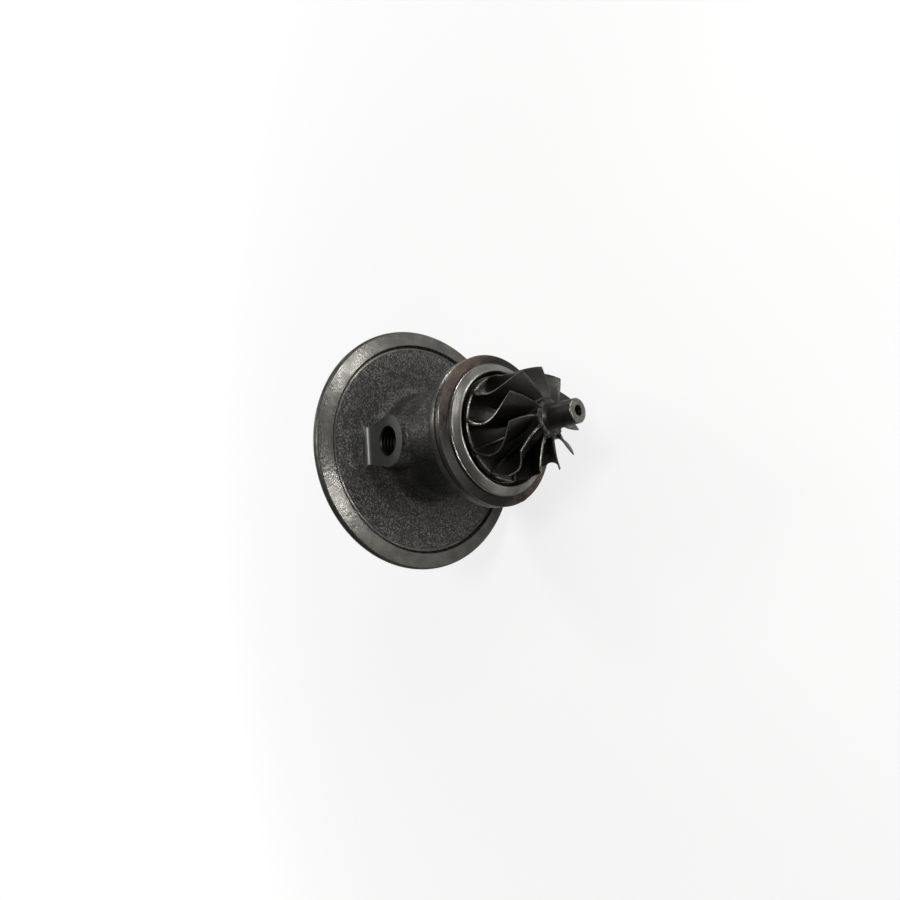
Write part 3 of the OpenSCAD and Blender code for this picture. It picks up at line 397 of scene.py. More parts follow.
# %% Dress the solids
by_slot = {
    "cast_iron": cast_iron, "shield_steel": pressed_steel, "hot_alloy": cast_alloy,
    "ground_steel": ground_steel, "spring_steel": spring_steel, "bronze": bronze,
    "cast_aluminium": turned_aluminium, "seal_rubber": seal_rubber,
}
for part in frame["record"]["subparts"]:
    solid = frame["nodes"][part["node"]]
    solid.data.materials.clear()
    solid.data.materials.append(by_slot[part["material_slot"]])

# %% [markdown]
# ## Lathe work
# Most of this object is turned about one axis. By hand that is an outline of points, drawn by extruding a
# vertex from place to place, its corners broken with a vertex bevel, and then spun round the axis. The spin
# leaves doubled vertices on the axis and may face inwards, so doubles are merged and the normals are made
# to point out. Where two shapes are cut or joined, some corners end up within a micron of each other or in
# the middle of an edge, and faces get many sides. A finished piece has such corners merged or dissolved and
# such faces split into triangles, because the slivers between them would tear the mesh when it is written
# to a file.

# %% Lathe helper
def lathe(name, outline, steps=192, edge=0.0, closed=False):
    """Spins an outline of (place, radius) points in millimetres about the rotor axis."""
    bpy.ops.object.select_all(action="DESELECT")
    bpy.ops.mesh.primitive_plane_add(size=MM)
    piece = bpy.context.object
    piece.name = piece.data.name = name
    bpy.ops.object.mode_set(mode="EDIT")
    bpy.ops.mesh.select_mode(type="VERT")
    bpy.ops.mesh.select_all(action="SELECT")
    bpy.ops.mesh.merge(type="CENTER")
    bpy.ops.transform.translate(value=(outline[0][0] * MM, 0, outline[0][1] * MM))
    route = list(outline) + ([outline[0]] if closed else [])
    for (xa, ra), (xb, rb) in zip(route, route[1:]):
        step = ((xb - xa) * MM, 0, (rb - ra) * MM)
        bpy.ops.mesh.extrude_vertices_move(TRANSFORM_OT_translate={"value": step})
    bpy.ops.mesh.select_all(action="SELECT")
    bpy.ops.mesh.remove_doubles(threshold=MICRON)
    if edge:
        bpy.ops.mesh.bevel(offset=edge * MM, segments=2, affect="VERTICES", clamp_overlap=True)
    bpy.ops.mesh.select_all(action="SELECT")
    bpy.ops.mesh.spin(steps=steps, angle=math.tau, center=(0, 0, 0), axis=(1, 0, 0))
    bpy.ops.mesh.select_all(action="SELECT")
    bpy.ops.mesh.remove_doubles(threshold=MICRON)
    bpy.ops.mesh.normals_make_consistent(inside=False)
    bpy.ops.object.mode_set(mode="OBJECT")
    return piece


def apply_all(piece):
    """Applies every modifier of a piece in turn."""
    bpy.context.view_layer.objects.active = piece
    for modifier in list(piece.modifiers):
        bpy.ops.object.modifier_apply(modifier=modifier.name)


def machine(piece, tool, operation="DIFFERENCE"):
    """Cuts a piece with a tool, or joins the two; new faces keep the tool's material."""
    cut = piece.modifiers.new("cut", "BOOLEAN")
    cut.operation = operation
    cut.solver = "MANIFOLD"
    cut.material_mode = "TRANSFER"
    cut.object = tool
    apply_all(piece)
    bpy.data.objects.remove(tool)


def clean_and_shade(piece, degrees):
    """Clears what the cuts left over, turns the normals out and shades smooth below an angle."""
    bpy.ops.object.select_all(action="DESELECT")
    piece.select_set(True)
    bpy.context.view_layer.objects.active = piece
    bpy.ops.object.mode_set(mode="EDIT")
    bpy.ops.mesh.select_mode(type="VERT")
    bpy.ops.mesh.select_all(action="SELECT")
    bpy.ops.mesh.remove_doubles(threshold=MICRON)
    bpy.ops.mesh.dissolve_degenerate(threshold=MICRON)
    bpy.ops.mesh.select_all(action="DESELECT")
    bpy.ops.object.mode_set(mode="OBJECT")
    edges_at = Counter(corner for edge in piece.data.edges for corner in edge.vertices)
    for vertex in piece.data.vertices:
        vertex.select = edges_at[vertex.index] == 2
    bpy.ops.object.mode_set(mode="EDIT")
    bpy.ops.mesh.dissolve_verts()
    bpy.ops.mesh.select_mode(type="FACE")
    bpy.ops.mesh.select_all(action="DESELECT")
    bpy.ops.mesh.select_face_by_sides(number=4, type="GREATER")
    bpy.ops.mesh.quads_convert_to_tris(quad_method="BEAUTY", ngon_method="BEAUTY")
    bpy.ops.mesh.select_all(action="SELECT")
    bpy.ops.mesh.normals_make_consistent(inside=False)
    bpy.ops.object.mode_set(mode="OBJECT")
    bpy.ops.object.shade_smooth_by_angle(angle=math.radians(degrees))


def rod(name, centre, radius, length, axis="Z", sides=96):
    """A round bar from a primitive, at its place in millimetres, with its place put into its mesh."""
    turn = {"X": (0, math.pi / 2, 0), "Z": (0, 0, 0)}[axis]
    bpy.ops.object.select_all(action="DESELECT")
    bpy.ops.mesh.primitive_cylinder_add(vertices=sides, radius=radius * MM, depth=length * MM,
                                        location=Vector(centre) * MM, rotation=turn)
    piece = bpy.context.object
    piece.name = name
    bpy.ops.object.transform_apply(location=True, rotation=True, scale=True)
    return piece


def bar(name, low, high):
    """A square bar between two corners in millimetres."""
    low, high = Vector(low) * MM, Vector(high) * MM
    bpy.ops.object.select_all(action="DESELECT")
    bpy.ops.mesh.primitive_cube_add(size=1, location=(low + high) / 2)
    piece = bpy.context.object
    piece.name = name
    piece.scale = high - low
    bpy.ops.object.transform_apply(location=True, rotation=True, scale=True)
    return piece


def face_count(piece):
    """A line that says how many faces a piece has."""
    return f"{piece.name}: {len(piece.data.polygons)} faces"


print("lathe, rod and bar are ready")

# %% [markdown]
# ## Sizes
# The record says where the part meets its neighbours, so the radii of those places are read from its
# mounts. The other sizes stand in the cells that first need them: names that end in X, Y or Z are places,
# names that end in R are radii, and all are in millimetres, as the solids have them.

# %% Sizes from the record
dims = {mount["name"]: mount["dims"] for mount in frame["record"]["mounts"]}
PILOT_R = dims["turbine_pilot"]["r_mm"]
DISC_R = dims["compressor_rim"]["r_mm"]
INLET_CORE_R = dims["oil_inlet"]["r_mm"]
DRAIN_R = dims["oil_drain"]["r_mm"]
SCREW_R = dims["oil_drain_bolts"]["hole_r_mm"]
SCREW_Y = dims["oil_drain_bolts"]["spacing_y_mm"] / 2
print("pilot radius", PILOT_R, "disc radius", DISC_R)

# %% [markdown]
# ## The casting
# The housing is made in the order of the foundry. First the raw casting, with stock left where a tool will
# cut: a turned body for the flange, waist and disc, the inlet boss with its rib, and the drain neck with
# its ears. They are joined and remeshed into one skin, which fuses them as the mould does. Smoothing then
# rounds every inner and outer corner like a pattern's fillets, and a fine displacement gives the skin the
# waviness of sand.

# %% Raw casting
ALLOWANCE, TAIL_TAPER = 2.5, 0.68
NECK_R, WAIST_R, SHOULDER_R, REAR_X = 19.7, 21.5, 23, -52.4
INLET_X, BOSS_R, BOSS_TOP_Z = -31.5, 10, 31.2
DRAIN_X, DRAIN_LOW_Z, EAR_R, EAR_TOP_Z = -26.9, -37.6, 8, -26
raw_disc_r, raw_rear_x = DISC_R + ALLOWANCE, REAR_X - ALLOWANCE
raw_flange = [(3.6, 0), (3.6, 33), (-6.4, 33), (-6.4, 25.2)]
neck = [(-6.9, 21.9), (-8.6, NECK_R), (-19.0, NECK_R)]
waist = [(-24.8, WAIST_R), (-32.1, WAIST_R), (-35.8, SHOULDER_R), (-42.8, SHOULDER_R)]
dish = [(-45.3, 24), (-46.3, 26.9), (-44.3, 44.6), (-41.4, 44.8)]
raw_disc = [(-41.4, raw_disc_r), (raw_rear_x, raw_disc_r), (raw_rear_x, 0)]
stock = lathe("bearing_casting", raw_flange + neck + waist + dish + raw_disc)
tail = bar("boss_tail", (-47.9, -BOSS_R, 2), (INLET_X, BOSS_R, BOSS_TOP_Z))
bpy.ops.object.mode_set(mode="EDIT")
bpy.ops.mesh.select_mode(type="FACE")
bpy.ops.mesh.select_all(action="DESELECT")
bpy.ops.object.mode_set(mode="OBJECT")
for polygon in tail.data.polygons:
    polygon.select = polygon.normal.x < -0.9
bpy.ops.object.mode_set(mode="EDIT")
bpy.ops.transform.resize(value=(1, TAIL_TAPER, 1))
bpy.ops.object.mode_set(mode="OBJECT")
raw = [
    stock,
    tail,
    rod("boss", (INLET_X, 0, BOSS_TOP_Z / 2), BOSS_R, BOSS_TOP_Z),
    bar("boss_foot", (-47.9, -7.5, 26), (-43.5, 7.5, BOSS_TOP_Z)),
    rod("rib", (-18, 0, 17.4), radius=9, length=27, axis="X"),
    rod("drain_neck", (DRAIN_X, 0, -19), radius=13, length=37.5),
    rod("drain_ear_a", (DRAIN_X, SCREW_Y, (DRAIN_LOW_Z + EAR_TOP_Z) / 2), EAR_R, EAR_TOP_Z - DRAIN_LOW_Z),
    rod("drain_ear_b", (DRAIN_X, -SCREW_Y, (DRAIN_LOW_Z + EAR_TOP_Z) / 2), EAR_R, EAR_TOP_Z - DRAIN_LOW_Z),
    bar("drain_bridge", (DRAIN_X - EAR_R, -SCREW_Y, DRAIN_LOW_Z), (DRAIN_X + EAR_R, SCREW_Y, EAR_TOP_Z)),
]
bpy.ops.object.select_all(action="DESELECT")
for piece in raw:
    piece.select_set(True)
bpy.context.view_layer.objects.active = stock
bpy.ops.object.join()
casting = bpy.context.object
casting.data.remesh_voxel_size = 0.65 * MM
bpy.ops.object.voxel_remesh()
fillets = casting.modifiers.new("fillets", "SMOOTH")
fillets.factor = 0.5
fillets.iterations = 10
sand = bpy.data.textures.new("sand_waviness", "CLOUDS")
sand.noise_scale = 2.2 * MM
sand.noise_depth = 2
wavy = casting.modifiers.new("waviness", "DISPLACE")
wavy.texture = sand
wavy.texture_coords = "LOCAL"
wavy.strength = 0.35 * MM
wavy.mid_level = 0.5
apply_all(casting)
casting.data.materials.clear()
casting.data.materials.append(cast_iron)
print(face_count(casting))

# %% [markdown]
# ## Turning the casting
# On the lathe, the flange, its groove and pilot, the disc's land, rim, spigot and back are cut. Instead of
# many cuts, one turned envelope is drawn: it has the finished outline where the tool cuts and stands clear
# of the raw skin elsewhere. Intersecting the casting with it leaves crisp turned faces next to raw iron,
# and the new faces keep the envelope's finish. The bores for the bearings and seals are one long turned
# cutter.

# %% Turned envelope
PILOT_END_X, FLANGE_R, FLANGE_BACK_X, GROOVE_R = 1.4, 28.25, -5.9, 27.45
LAND_R, SPIGOT_R, RIM_BACK_X = 51.2, 48.4, -46.1
pilot = [(-1.5, 0), (-1.5, 22.4), (PILOT_END_X, 22.4), (PILOT_END_X, PILOT_R), (0, PILOT_R)]
flange = [(0, FLANGE_R), (-0.9, FLANGE_R), (-0.95, GROOVE_R), (-2.85, GROOVE_R), (-2.9, FLANGE_R),
          (FLANGE_BACK_X, FLANGE_R), (FLANGE_BACK_X, 25.4)]
clear_of_skin = [(-6.8, 25.4), (-6.8, 48), (-40.9, 48), (-40.9, 43.5), (-44.6, 43.5)]
land = [(-44.6, 44.6), (-42.9, 45.4), (-43.7, LAND_R), (-44.5, DISC_R), (RIM_BACK_X, DISC_R),
        (RIM_BACK_X, SPIGOT_R)]
ring_groove = [(-47.95, SPIGOT_R), (-47.95, 46.48), (-50.55, 46.48), (-50.55, SPIGOT_R)]
rear = [(REAR_X, SPIGOT_R), (REAR_X, 0)]
turned_outline = pilot + flange + clear_of_skin + land + ring_groove + rear
envelope = lathe("turned_envelope", turned_outline, steps=256, edge=0.28)
envelope.data.materials.append(turned_iron)
machine(casting, envelope, "INTERSECT")
print(face_count(casting))

# %% Bores
TURBINE_BUSH_X, COMPRESSOR_BUSH_X, BUSH_BORE_R = -18.8, -33.95, 5.5
OIL_ROOM_R, SEAL_BORE_R = 7.2, 20


def bush_bore(centre):
    """The bore of one bush, with a snap ring groove near each end and an oil groove in the middle."""
    half = [(5.5, BUSH_BORE_R), (4.4, BUSH_BORE_R), (4.4, 6.3), (3.5, 6.3), (3.5, BUSH_BORE_R),
            (1.2, BUSH_BORE_R), (1.2, 6.1)]
    return [(centre + x, r) for x, r in half] + [(centre - x, r) for x, r in reversed(half)]


hot_end = [(0.5, 0), (0.5, 8), (-9.5, 8), (-9.5, 12.5), (-13.3, 12.5)]
oil_room = [(-24.3, OIL_ROOM_R), (-28.45, OIL_ROOM_R)]
thrust_seat = [(-39.45, 9.5), (-42.4, 9.5), (-42.4, 17.02), (-45.9, 17.02)]
seal_bore = [(-45.9, SEAL_BORE_R), (-51.1, SEAL_BORE_R), (-51.1, 21.2), (-52.1, 21.2), (-52.1, SEAL_BORE_R),
             (-53.9, SEAL_BORE_R), (-53.9, 0)]
bores = lathe("rotor_bores", hot_end + bush_bore(TURBINE_BUSH_X) + oil_room + bush_bore(COMPRESSOR_BUSH_X)
              + thrust_seat + seal_bore, steps=128)
bores.data.materials.append(turned_iron)
machine(casting, bores)
print(face_count(casting))

# %% [markdown]
# ## Threads
# The oil inlet and the two drain holes are tapped. A thread is a V that climbs round the hole: a triangle
# is drawn at the wall, the Screw modifier carries it round and up by one pitch a turn, and its two ends are
# filled so that it is a solid tap, which then cuts the wall.

# %% Tap helper
V_SHARE, OVERLAP = 0.46, 0.25


def tap(name, core, depth_of_v, pitch, turns, steps=40):
    """A helical V about Z from height 0: its crest stands off the core radius and its base overlaps it."""
    bpy.ops.object.select_all(action="DESELECT")
    bpy.ops.mesh.primitive_circle_add(vertices=3, radius=MM)
    piece = bpy.context.object
    piece.name = name
    half = V_SHARE * pitch
    base = core - math.copysign(OVERLAP, depth_of_v)
    corners = [(base, -half), (core + depth_of_v, 0.0), (base, half)]
    for vertex, (r, z) in zip(piece.data.vertices, corners):
        vertex.co = (r * MM, 0, z * MM)
    climb = piece.modifiers.new("climb", "SCREW")
    climb.axis = "Z"
    climb.screw_offset = pitch * MM
    climb.iterations = turns
    climb.steps = climb.render_steps = steps
    climb.use_smooth_shade = False
    apply_all(piece)
    bpy.ops.object.mode_set(mode="EDIT")
    bpy.ops.mesh.select_all(action="SELECT")
    bpy.ops.mesh.remove_doubles(threshold=MICRON)
    bpy.ops.mesh.select_all(action="SELECT")
    bpy.ops.mesh.fill_holes(sides=3)
    bpy.ops.mesh.select_all(action="SELECT")
    bpy.ops.mesh.normals_make_consistent(inside=False)
    bpy.ops.object.mode_set(mode="OBJECT")
    return piece


def put(piece, place, turn=(0, 0, 0)):
    """Moves a tool to a place in millimetres, turned, and puts that into its mesh."""
    bpy.ops.object.select_all(action="DESELECT")
    piece.select_set(True)
    bpy.context.view_layer.objects.active = piece
    piece.location = Vector(place) * MM
    piece.rotation_euler = turn
    bpy.ops.object.transform_apply(location=True, rotation=True, scale=True)
    return piece


print("tap is ready")

# %% [markdown]
# ## Milling and drilling
# The inlet flat is milled with a cutter that has a round corner, so it leaves a fillet where it meets the
# disc. The tool here is a square bar whose lower edge on the disc's side is bevelled round. After it come
# the tapped hole, the drilled oil ways to the bearings, and underneath the drain face with its bore and
# screw holes.

# %% Inlet
INLET_FACE_Z, MILL_X, MILL_CORNER_R = 28.6, -45.65, 2.5
cutter = bar("inlet_mill", (MILL_X, -10.6, INLET_FACE_Z), (-20.9, 10.6, 31.7))
cutter.data.materials.append(milled_iron)
bpy.ops.object.mode_set(mode="EDIT")
bpy.ops.mesh.select_mode(type="EDGE")
bpy.ops.mesh.select_all(action="DESELECT")
bpy.ops.object.mode_set(mode="OBJECT")
for edge in cutter.data.edges:
    ends = [cutter.data.vertices[i].co for i in edge.vertices]
    edge.select = all(abs(p.x - MILL_X * MM) < MICRON and abs(p.z - INLET_FACE_Z * MM) < MICRON for p in ends)
bpy.ops.object.mode_set(mode="EDIT")
bpy.ops.mesh.bevel(offset=MILL_CORNER_R * MM, segments=10)
bpy.ops.object.mode_set(mode="OBJECT")
machine(casting, cutter)
mouth_r = INLET_CORE_R + 1
outline = [(-15.1, 0), (-12, INLET_CORE_R), (-0.6, INLET_CORE_R), (0.4, mouth_r), (2, mouth_r), (2, 0)]
drill = put(lathe("inlet_drill", outline, steps=128), (INLET_X, 0, INLET_FACE_Z), (0, -math.pi / 2, 0))
thread = put(tap("inlet_tap", INLET_CORE_R, depth_of_v=0.8, pitch=1.5, turns=8), (INLET_X, 0, 17.4))
# The drill and tap give the hole's walls the near black painted shade.
for tool in (drill, thread):
    tool.data.materials.append(cut_iron_painted_dark)
    machine(casting, tool)
print(face_count(casting))

# %% Oil ways and drain
FEED_R, THRUST_FEED_R, RETURN_R, DRAIN_FACE_Z = 1.3, 0.9, 3.2, -36
ways = [
    ((-30.5, 16.8), (TURBINE_BUSH_X, 5.0), FEED_R),
    ((-32.5, 16.8), (COMPRESSOR_BUSH_X, 5.0), FEED_R),
    ((-33.5, 17.8), (-43.4, 11.2), THRUST_FEED_R),
    ((-11.4, -10), (-23.9, -26), RETURN_R),
    ((-44.15, -12.2), (-29.9, -26), RETURN_R),
]
for (xa, za), (xb, zb), radius in ways:
    run = Vector((xb - xa, 0, zb - za))
    way = rod("oil_way", (0, 0, 0), radius, run.length, sides=32)
    way.data.materials.append(turned_iron)
    put(way, ((xa + xb) / 2, 0, (za + zb) / 2), run.to_track_quat("Z", "Y").to_euler())
    machine(casting, way)
chamber = bar("oil_chamber", (-28.45, -OIL_ROOM_R, -10.5), (-24.3, OIL_ROOM_R, 0))
chamber.data.materials.append(cast_iron)
face = bar("drain_mill", (-41.1, -30, -45), (-10.9, 30, DRAIN_FACE_Z))
face.data.materials.append(milled_iron)
for tool in (chamber, face):
    machine(casting, tool)
below = -40
for radius, y, top in [(DRAIN_R, 0, -10), (SCREW_R, SCREW_Y, -24), (SCREW_R, -SCREW_Y, -24)]:
    hole = rod("drain_hole", (DRAIN_X, y, (below + top) / 2), radius, top - below)
    hole.data.materials.append(turned_iron)
    machine(casting, hole)
    if y:
        thread = tap("drain_tap", SCREW_R, depth_of_v=0.5, pitch=1.0, turns=12, steps=24)
        put(thread, (DRAIN_X, y, -37.2))
        thread.data.materials.append(turned_iron)
        machine(casting, thread)
print(face_count(casting))

# %% [markdown]
# ## Placing the finishes
# The cuts brought the turned and milled finishes with them. The flange's face is turned as well, but
# oxidised, and the outer edges of the flange and the disc are rougher and painted darker, a painted shade for
# the dim room they mirror, so their faces are picked by place and given those finishes; the small bevels
# beside them keep the brighter turned tone. Smooth shading by angle keeps the turned edges crisp.

# %% Flange face and shading
casting.data.materials.append(rusty_iron)
casting.data.materials.append(dulled_and_shaded_iron)
names = [material.name for material in casting.data.materials]
rusty_index, dulled_and_shaded_index = names.index(rusty_iron.name), names.index(dulled_and_shaded_iron.name)
count = 0
for polygon in casting.data.polygons:
    c = polygon.center / MM
    radius = math.hypot(c.y, c.z)
    on_flange_face = -0.2 < c.x < 0.1 and PILOT_R + 0.1 < radius < FLANGE_R - 0.15
    on_disc_edge = -45.9 < c.x < -43.5 and radius > LAND_R
    on_flange_edge = FLANGE_BACK_X < c.x < -0.1 and 27.2 < radius < 28.5 and abs(polygon.normal.x) < 0.25
    if on_flange_face:
        polygon.material_index = rusty_index
        count += 1
    elif on_disc_edge or on_flange_edge:
        polygon.material_index = dulled_and_shaded_index
clean_and_shade(casting, degrees=32)
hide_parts("bearing_housing")
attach(casting, "housing")
print(count, "flange faces;", names)

# %% [markdown]
# ## Heat shield
# The shield is a cup pressed from sheet, so it has one thickness all over and every bend is round. Its
# outline is drawn once round both sides of the sheet and spun, with the vertex bevel rounding the bends.

# %% Heat shield
hole_r, seat_r = 9, 24.2
outside = [(1.1, hole_r), (1.1, 19.9), (1.5, 20.3), (3.1, 20.9), (3.5, 21.3), (3.4, 21.8), (1.8, seat_r)]
inside = [(PILOT_END_X, seat_r), (PILOT_END_X, 23.0), (2.5, 21.5), (2.3, 21.2), (0.7, 20.8), (0.3, 20.4),
          (0.3, hole_r)]
shield = lathe("pressed_heat_shield", outside + inside, steps=256, edge=0.2, closed=True)
shield.data.materials.append(pressed_steel)
clean_and_shade(shield, degrees=50)
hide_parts("heat_shield")
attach(shield, "housing")
print(face_count(shield))

# %% [markdown]
# ## Blades
# A blade is a thin curved sheet between the hub and the wheel's outer contour. Operators can't bend a plate
# along two curves at once, so a grid is added and each of its points is set on the blade's middle surface
# by formula. The Solidify modifier then gives it thickness, from a vertex group that thins it towards the
# tip and flares it at the root like a cast fillet. The rim faces that Solidify makes are the ground
# contour, so they get the ground finish, and a small bevel breaks their edges.

# %% Blade helper
def quarter(x0, r0, x1, r1, s):
    """A quarter ellipse that leaves a rim radially and ends along the axis."""
    return x1 - (x1 - x0) * math.cos(math.pi / 2 * s), r0 - (r0 - r1) * math.sin(math.pi / 2 * s)


ROW_CROWDING, OUTLET_THINNING = 1.5, 0.4


def blade(name, hub, tip, turn, root_t, tip_t, fillet, end=1.0, stations=36, rows=16, sink=0.09, edge=0.1):
    """One blade in the wheel's own place; hub and tip give (place, radius) along the flow from 0 to 1."""
    bpy.ops.object.select_all(action="DESELECT")
    bpy.ops.mesh.primitive_grid_add(x_subdivisions=stations, y_subdivisions=rows, size=1)
    piece = bpy.context.object
    piece.name = name
    group = piece.vertex_groups.new(name="thickness")
    full = root_t + 2 * fillet
    for vertex in piece.data.vertices:
        s = (vertex.co.x + 0.5) * end
        row = vertex.co.y + 0.5
        h = -sink if row < 0.5 / rows else ((row - 1 / rows) / (1 - 1 / rows)) ** ROW_CROWDING
        (hx, hr), (tx, tr) = hub(s), tip(s)
        x, r = hx + (tx - hx) * h, hr + (tr - hr) * h
        angle = math.radians(turn(s, x))
        vertex.co = Vector((x, r * math.cos(angle), r * math.sin(angle))) * MM
        near = max(0.0, fillet - max(h, 0.0) * math.hypot(tx - hx, tr - hr))
        flare = fillet - math.sqrt(max(0.0, fillet ** 2 - near ** 2))
        plain = root_t + (tip_t - root_t) * max(h, 0.0)
        thick = plain * (1 - OUTLET_THINNING * s ** 2) + 2 * flare
        group.add([vertex.index], thick / full, "REPLACE")
    piece.data.materials.append(None)
    piece.data.materials.append(None)
    wall = piece.modifiers.new("wall", "SOLIDIFY")
    wall.thickness = full * MM
    wall.offset = 0
    wall.vertex_group = "thickness"
    wall.use_even_offset = True
    wall.material_offset_rim = 1
    soft = piece.modifiers.new("soft_edges", "BEVEL")
    soft.width = edge * MM
    soft.segments = 2
    soft.limit_method = "ANGLE"
    soft.angle_limit = math.radians(50)
    apply_all(piece)
    bpy.ops.object.mode_set(mode="EDIT")
    bpy.ops.mesh.select_all(action="SELECT")
    bpy.ops.mesh.normals_make_consistent(inside=False)
    bpy.ops.object.mode_set(mode="OBJECT")
    return piece


def crown(wheel, one, count, phase, skin, ground):
    """Copies one blade round the axis, each copy with its own mesh, and fuses them all with the wheel."""
    one.data.materials[0] = skin
    one.data.materials[1] = ground
    for i in range(count):
        copy = one.copy()
        copy.data = one.data.copy()
        scene.collection.objects.link(copy)
        put(copy, (0, 0, 0), (math.radians(phase + 360 * i / count), 0, 0))
        machine(wheel, copy, "UNION")
    bpy.data.objects.remove(one)


print("blade and crown are ready")

# %% [markdown]
# ## Turbine wheel
# The wheel is cast in a heat-proof nickel alloy, which comes out dark and satin; only the contour of the
# blades, the rim of the back disc and the end of the nose are ground afterwards. Eleven blades rise
# radially from the hub and curl over at the outlet. The hub, the back disc, the seal's boss and the nose
# are one turned outline.

# %% Turbine wheel
HUB_START_X, TIP_END_X, RADIAL_X = 4.1, 21.8, 10.6
INLET_LEAN, OUTLET_CURL = -7, -29
HUB_STEPS = 20


def turbine_hub(s):
    """Place and radius of the hub line along the flow."""
    return quarter(HUB_START_X, 19.38, 23.7, 6.4, s)


def turbine_tip(s):
    """Place and radius of the blades' outer contour along the flow."""
    return quarter(9.9, 19.24, TIP_END_X, 17.85, s)


def turbine_turn(s, x):
    """Degrees that the blade turns about the axis: none where it is radial, more towards both ends."""
    if x < RADIAL_X:
        return INLET_LEAN * ((RADIAL_X - x) / (RADIAL_X - HUB_START_X)) ** 2
    return OUTLET_CURL * ((x - RADIAL_X) / (TIP_END_X - RADIAL_X)) ** 2


turbine = lathe("turbine_wheel_cast", [
    (-9.2, 0), (-9.2, 7.7), (-5.45, 7.7), (-5.45, 6.3), (-4.05, 6.3), (-4.05, 7.7), (1.5, 7.7), (2.5, 8.7),
    (2.5, 19.4), (3.75, 19.4), (4.15, 19.0), *[turbine_hub(i / HUB_STEPS) for i in range(2, HUB_STEPS + 1)],
    (24, 6.1), (24.3, 5.05), (25.7, 4.35), (34.5, 4.05), (34.8, 3.75), (34.8, 1.75), (31.3, 1.75), (31.3, 0),
], steps=160, edge=0.12)
turbine.data.materials.append(cast_alloy)
turbine.data.materials.append(ground_alloy)
vane = blade("turbine_blade", turbine_hub, turbine_tip, turbine_turn, root_t=1.5, tip_t=0.65, fillet=0.6)
crown(turbine, vane, count=11, phase=92.5, skin=cast_alloy, ground=ground_alloy)
ground = 0
for polygon in turbine.data.polygons:
    c = polygon.center / MM
    radius = math.hypot(c.y, c.z)
    on_disc_rim = 2.4 < c.x < 4.2 and radius > 18.9
    on_nose_end = c.x > 34.4 and radius > 1.7
    if on_disc_rim or on_nose_end:
        polygon.material_index = 1
        ground += 1
    elif radius < 8:
        polygon.material_index = 0
clean_and_shade(turbine, degrees=38)
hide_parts("turbine_wheel")
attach(turbine, "rotor")
print(face_count(turbine), "ground:", ground)

# %% [markdown]
# ## Compressor wheel
# The compressor wheel hides behind the disc. It is cast in aluminium, with six full blades and six
# splitters between them that start later in the flow. The same helper makes both: a splitter is a full
# blade that stops short.

# %% Compressor wheel
EYE_LEAN, BACK_SWEEP = 30, 25
WHEEL_FRONT_X, STUD_HOLE_R = -70.95, 2.62


def compressor_hub(s):
    """Place and radius of the hub line, from the rim to the eye."""
    return quarter(-54.55, 22.98, -69.95, 5.2, s)


def compressor_tip(s):
    """Place and radius of the blades' outer contour, from the rim to the eye."""
    return quarter(-57.95, 22.84, -68.95, 16.5, s)


def compressor_turn(s, x):
    """Degrees that the blade turns about the axis: swept back at the rim, leant forward at the eye."""
    return EYE_LEAN * s ** 2 - BACK_SWEEP * (1 - s) ** 2


impeller = lathe("compressor_wheel_cast", [
    (-53.15, STUD_HOLE_R), (-53.15, 6.5), (-53.55, 6.8), (-53.55, 23), (-54.55, 23),
    *[compressor_hub(i / HUB_STEPS) for i in range(1, HUB_STEPS + 1)],
    (WHEEL_FRONT_X, 4.9), (WHEEL_FRONT_X, STUD_HOLE_R),
], steps=160, edge=0.12, closed=True)
impeller.data.materials.append(cast_aluminium)
impeller.data.materials.append(turned_aluminium)
shape = (compressor_hub, compressor_tip, compressor_turn)
full = blade("compressor_blade", *shape, root_t=1.1, tip_t=0.5, fillet=0.5)
crown(impeller, full, count=6, phase=0, skin=cast_aluminium, ground=turned_aluminium)
splitter = blade("splitter_blade", *shape, root_t=1.1, tip_t=0.5, fillet=0.5, end=0.72)
crown(impeller, splitter, count=6, phase=30, skin=cast_aluminium, ground=turned_aluminium)
clean_and_shade(impeller, degrees=38)
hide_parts("compressor_wheel")
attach(impeller, "rotor")
print(face_count(impeller))

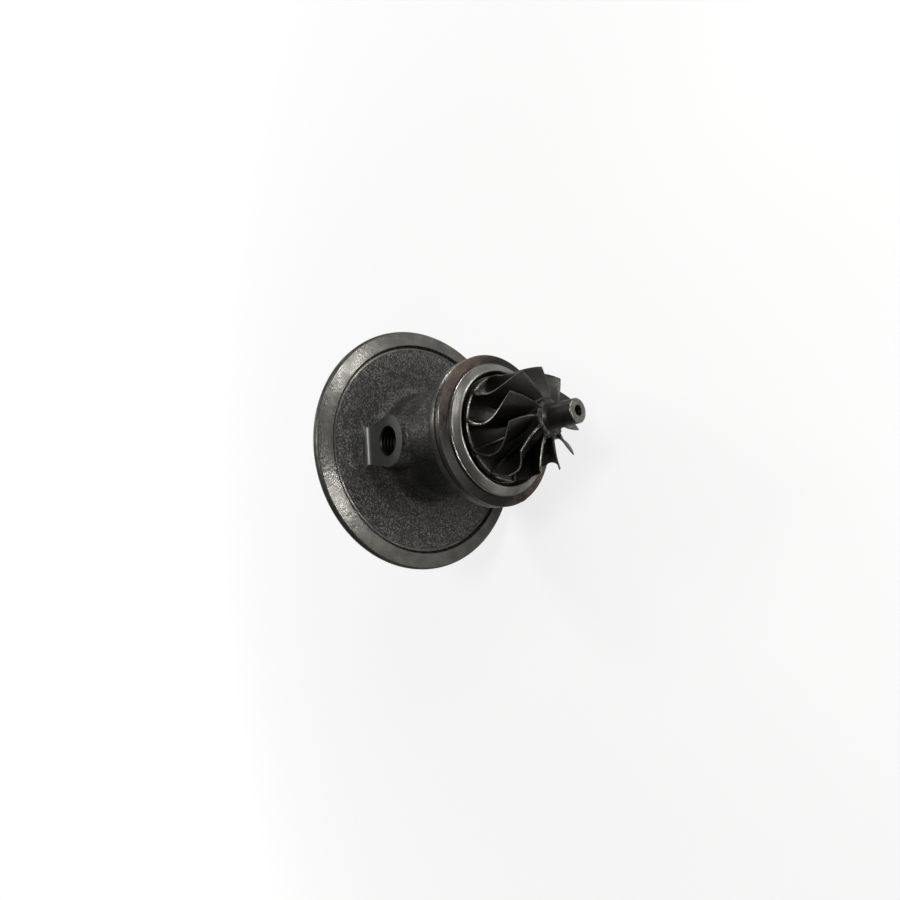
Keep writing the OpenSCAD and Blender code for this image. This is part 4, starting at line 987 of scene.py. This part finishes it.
# %% [markdown]
# ## Shaft and nut
# The shaft is ground steel, threaded at the compressor end, where a flanged hexagon nut clamps the wheel.
# The thread is the same tap turned inside out: its V points inwards and cuts the bar. The nut starts as a
# six-sided bar; a turned double cone rounds its corners, and its flange is joined on.

# %% Shaft
JOURNAL_R, STUD_R = 3.5, 2.6
shaft = lathe("ground_shaft", [
    (-9.2, 0), (-9.2, JOURNAL_R), (-23.2, JOURNAL_R), (-23.7, 3.3), (-29.05, 3.3), (-29.55, JOURNAL_R),
    (-39.95, JOURNAL_R), (-39.95, STUD_R), (-78.35, STUD_R), (-78.95, 2.0), (-78.95, 0),
], steps=96)
shaft.data.materials.append(ground_steel)
thread = tap("stud_die", STUD_R, depth_of_v=-0.4, pitch=0.8, turns=6)
put(thread, (-79.5, 0, 0), turn=(0, math.pi / 2, 0))
thread.data.materials.append(ground_steel)
machine(shaft, thread)
clean_and_shade(shaft, degrees=30)
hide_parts("shaft")
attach(shaft, "rotor")
print(face_count(shaft))

# %% Nut
ACROSS_FLATS, NUT_END_X = 8, -75.95
corner_r = ACROSS_FLATS / 2 / math.cos(math.radians(30))
nut = rod("flanged_lock_nut", (-73.45, 0, 0), corner_r, length=5, axis="X", sides=6)
cone_outline = [(-69.9, 0), (-69.9, 6), (-75.3, 4.75), (NUT_END_X, 3.9), (NUT_END_X, 0)]
cone = lathe("nut_chamfer", cone_outline, steps=96)
machine(nut, cone, "INTERSECT")
collar_outline = [(WHEEL_FRONT_X, 0), (WHEEL_FRONT_X, 4.9), (-71.95, 4.9), (-72.2, 4.3), (-72.2, 0)]
collar = lathe("nut_flange", collar_outline, steps=96, edge=0.15)
machine(nut, collar, "UNION")
machine(nut, rod("nut_hole", (-73.4, 0, 0), STUD_HOLE_R, length=8, axis="X"))
nut.data.materials.clear()
nut.data.materials.append(ground_steel)
clean_and_shade(nut, degrees=30)
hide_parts("lock_nut")
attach(nut, "rotor")
print(face_count(nut))

# %% [markdown]
# ## Finish
# The script ends here.

# %% Sizes and finish
print("done")
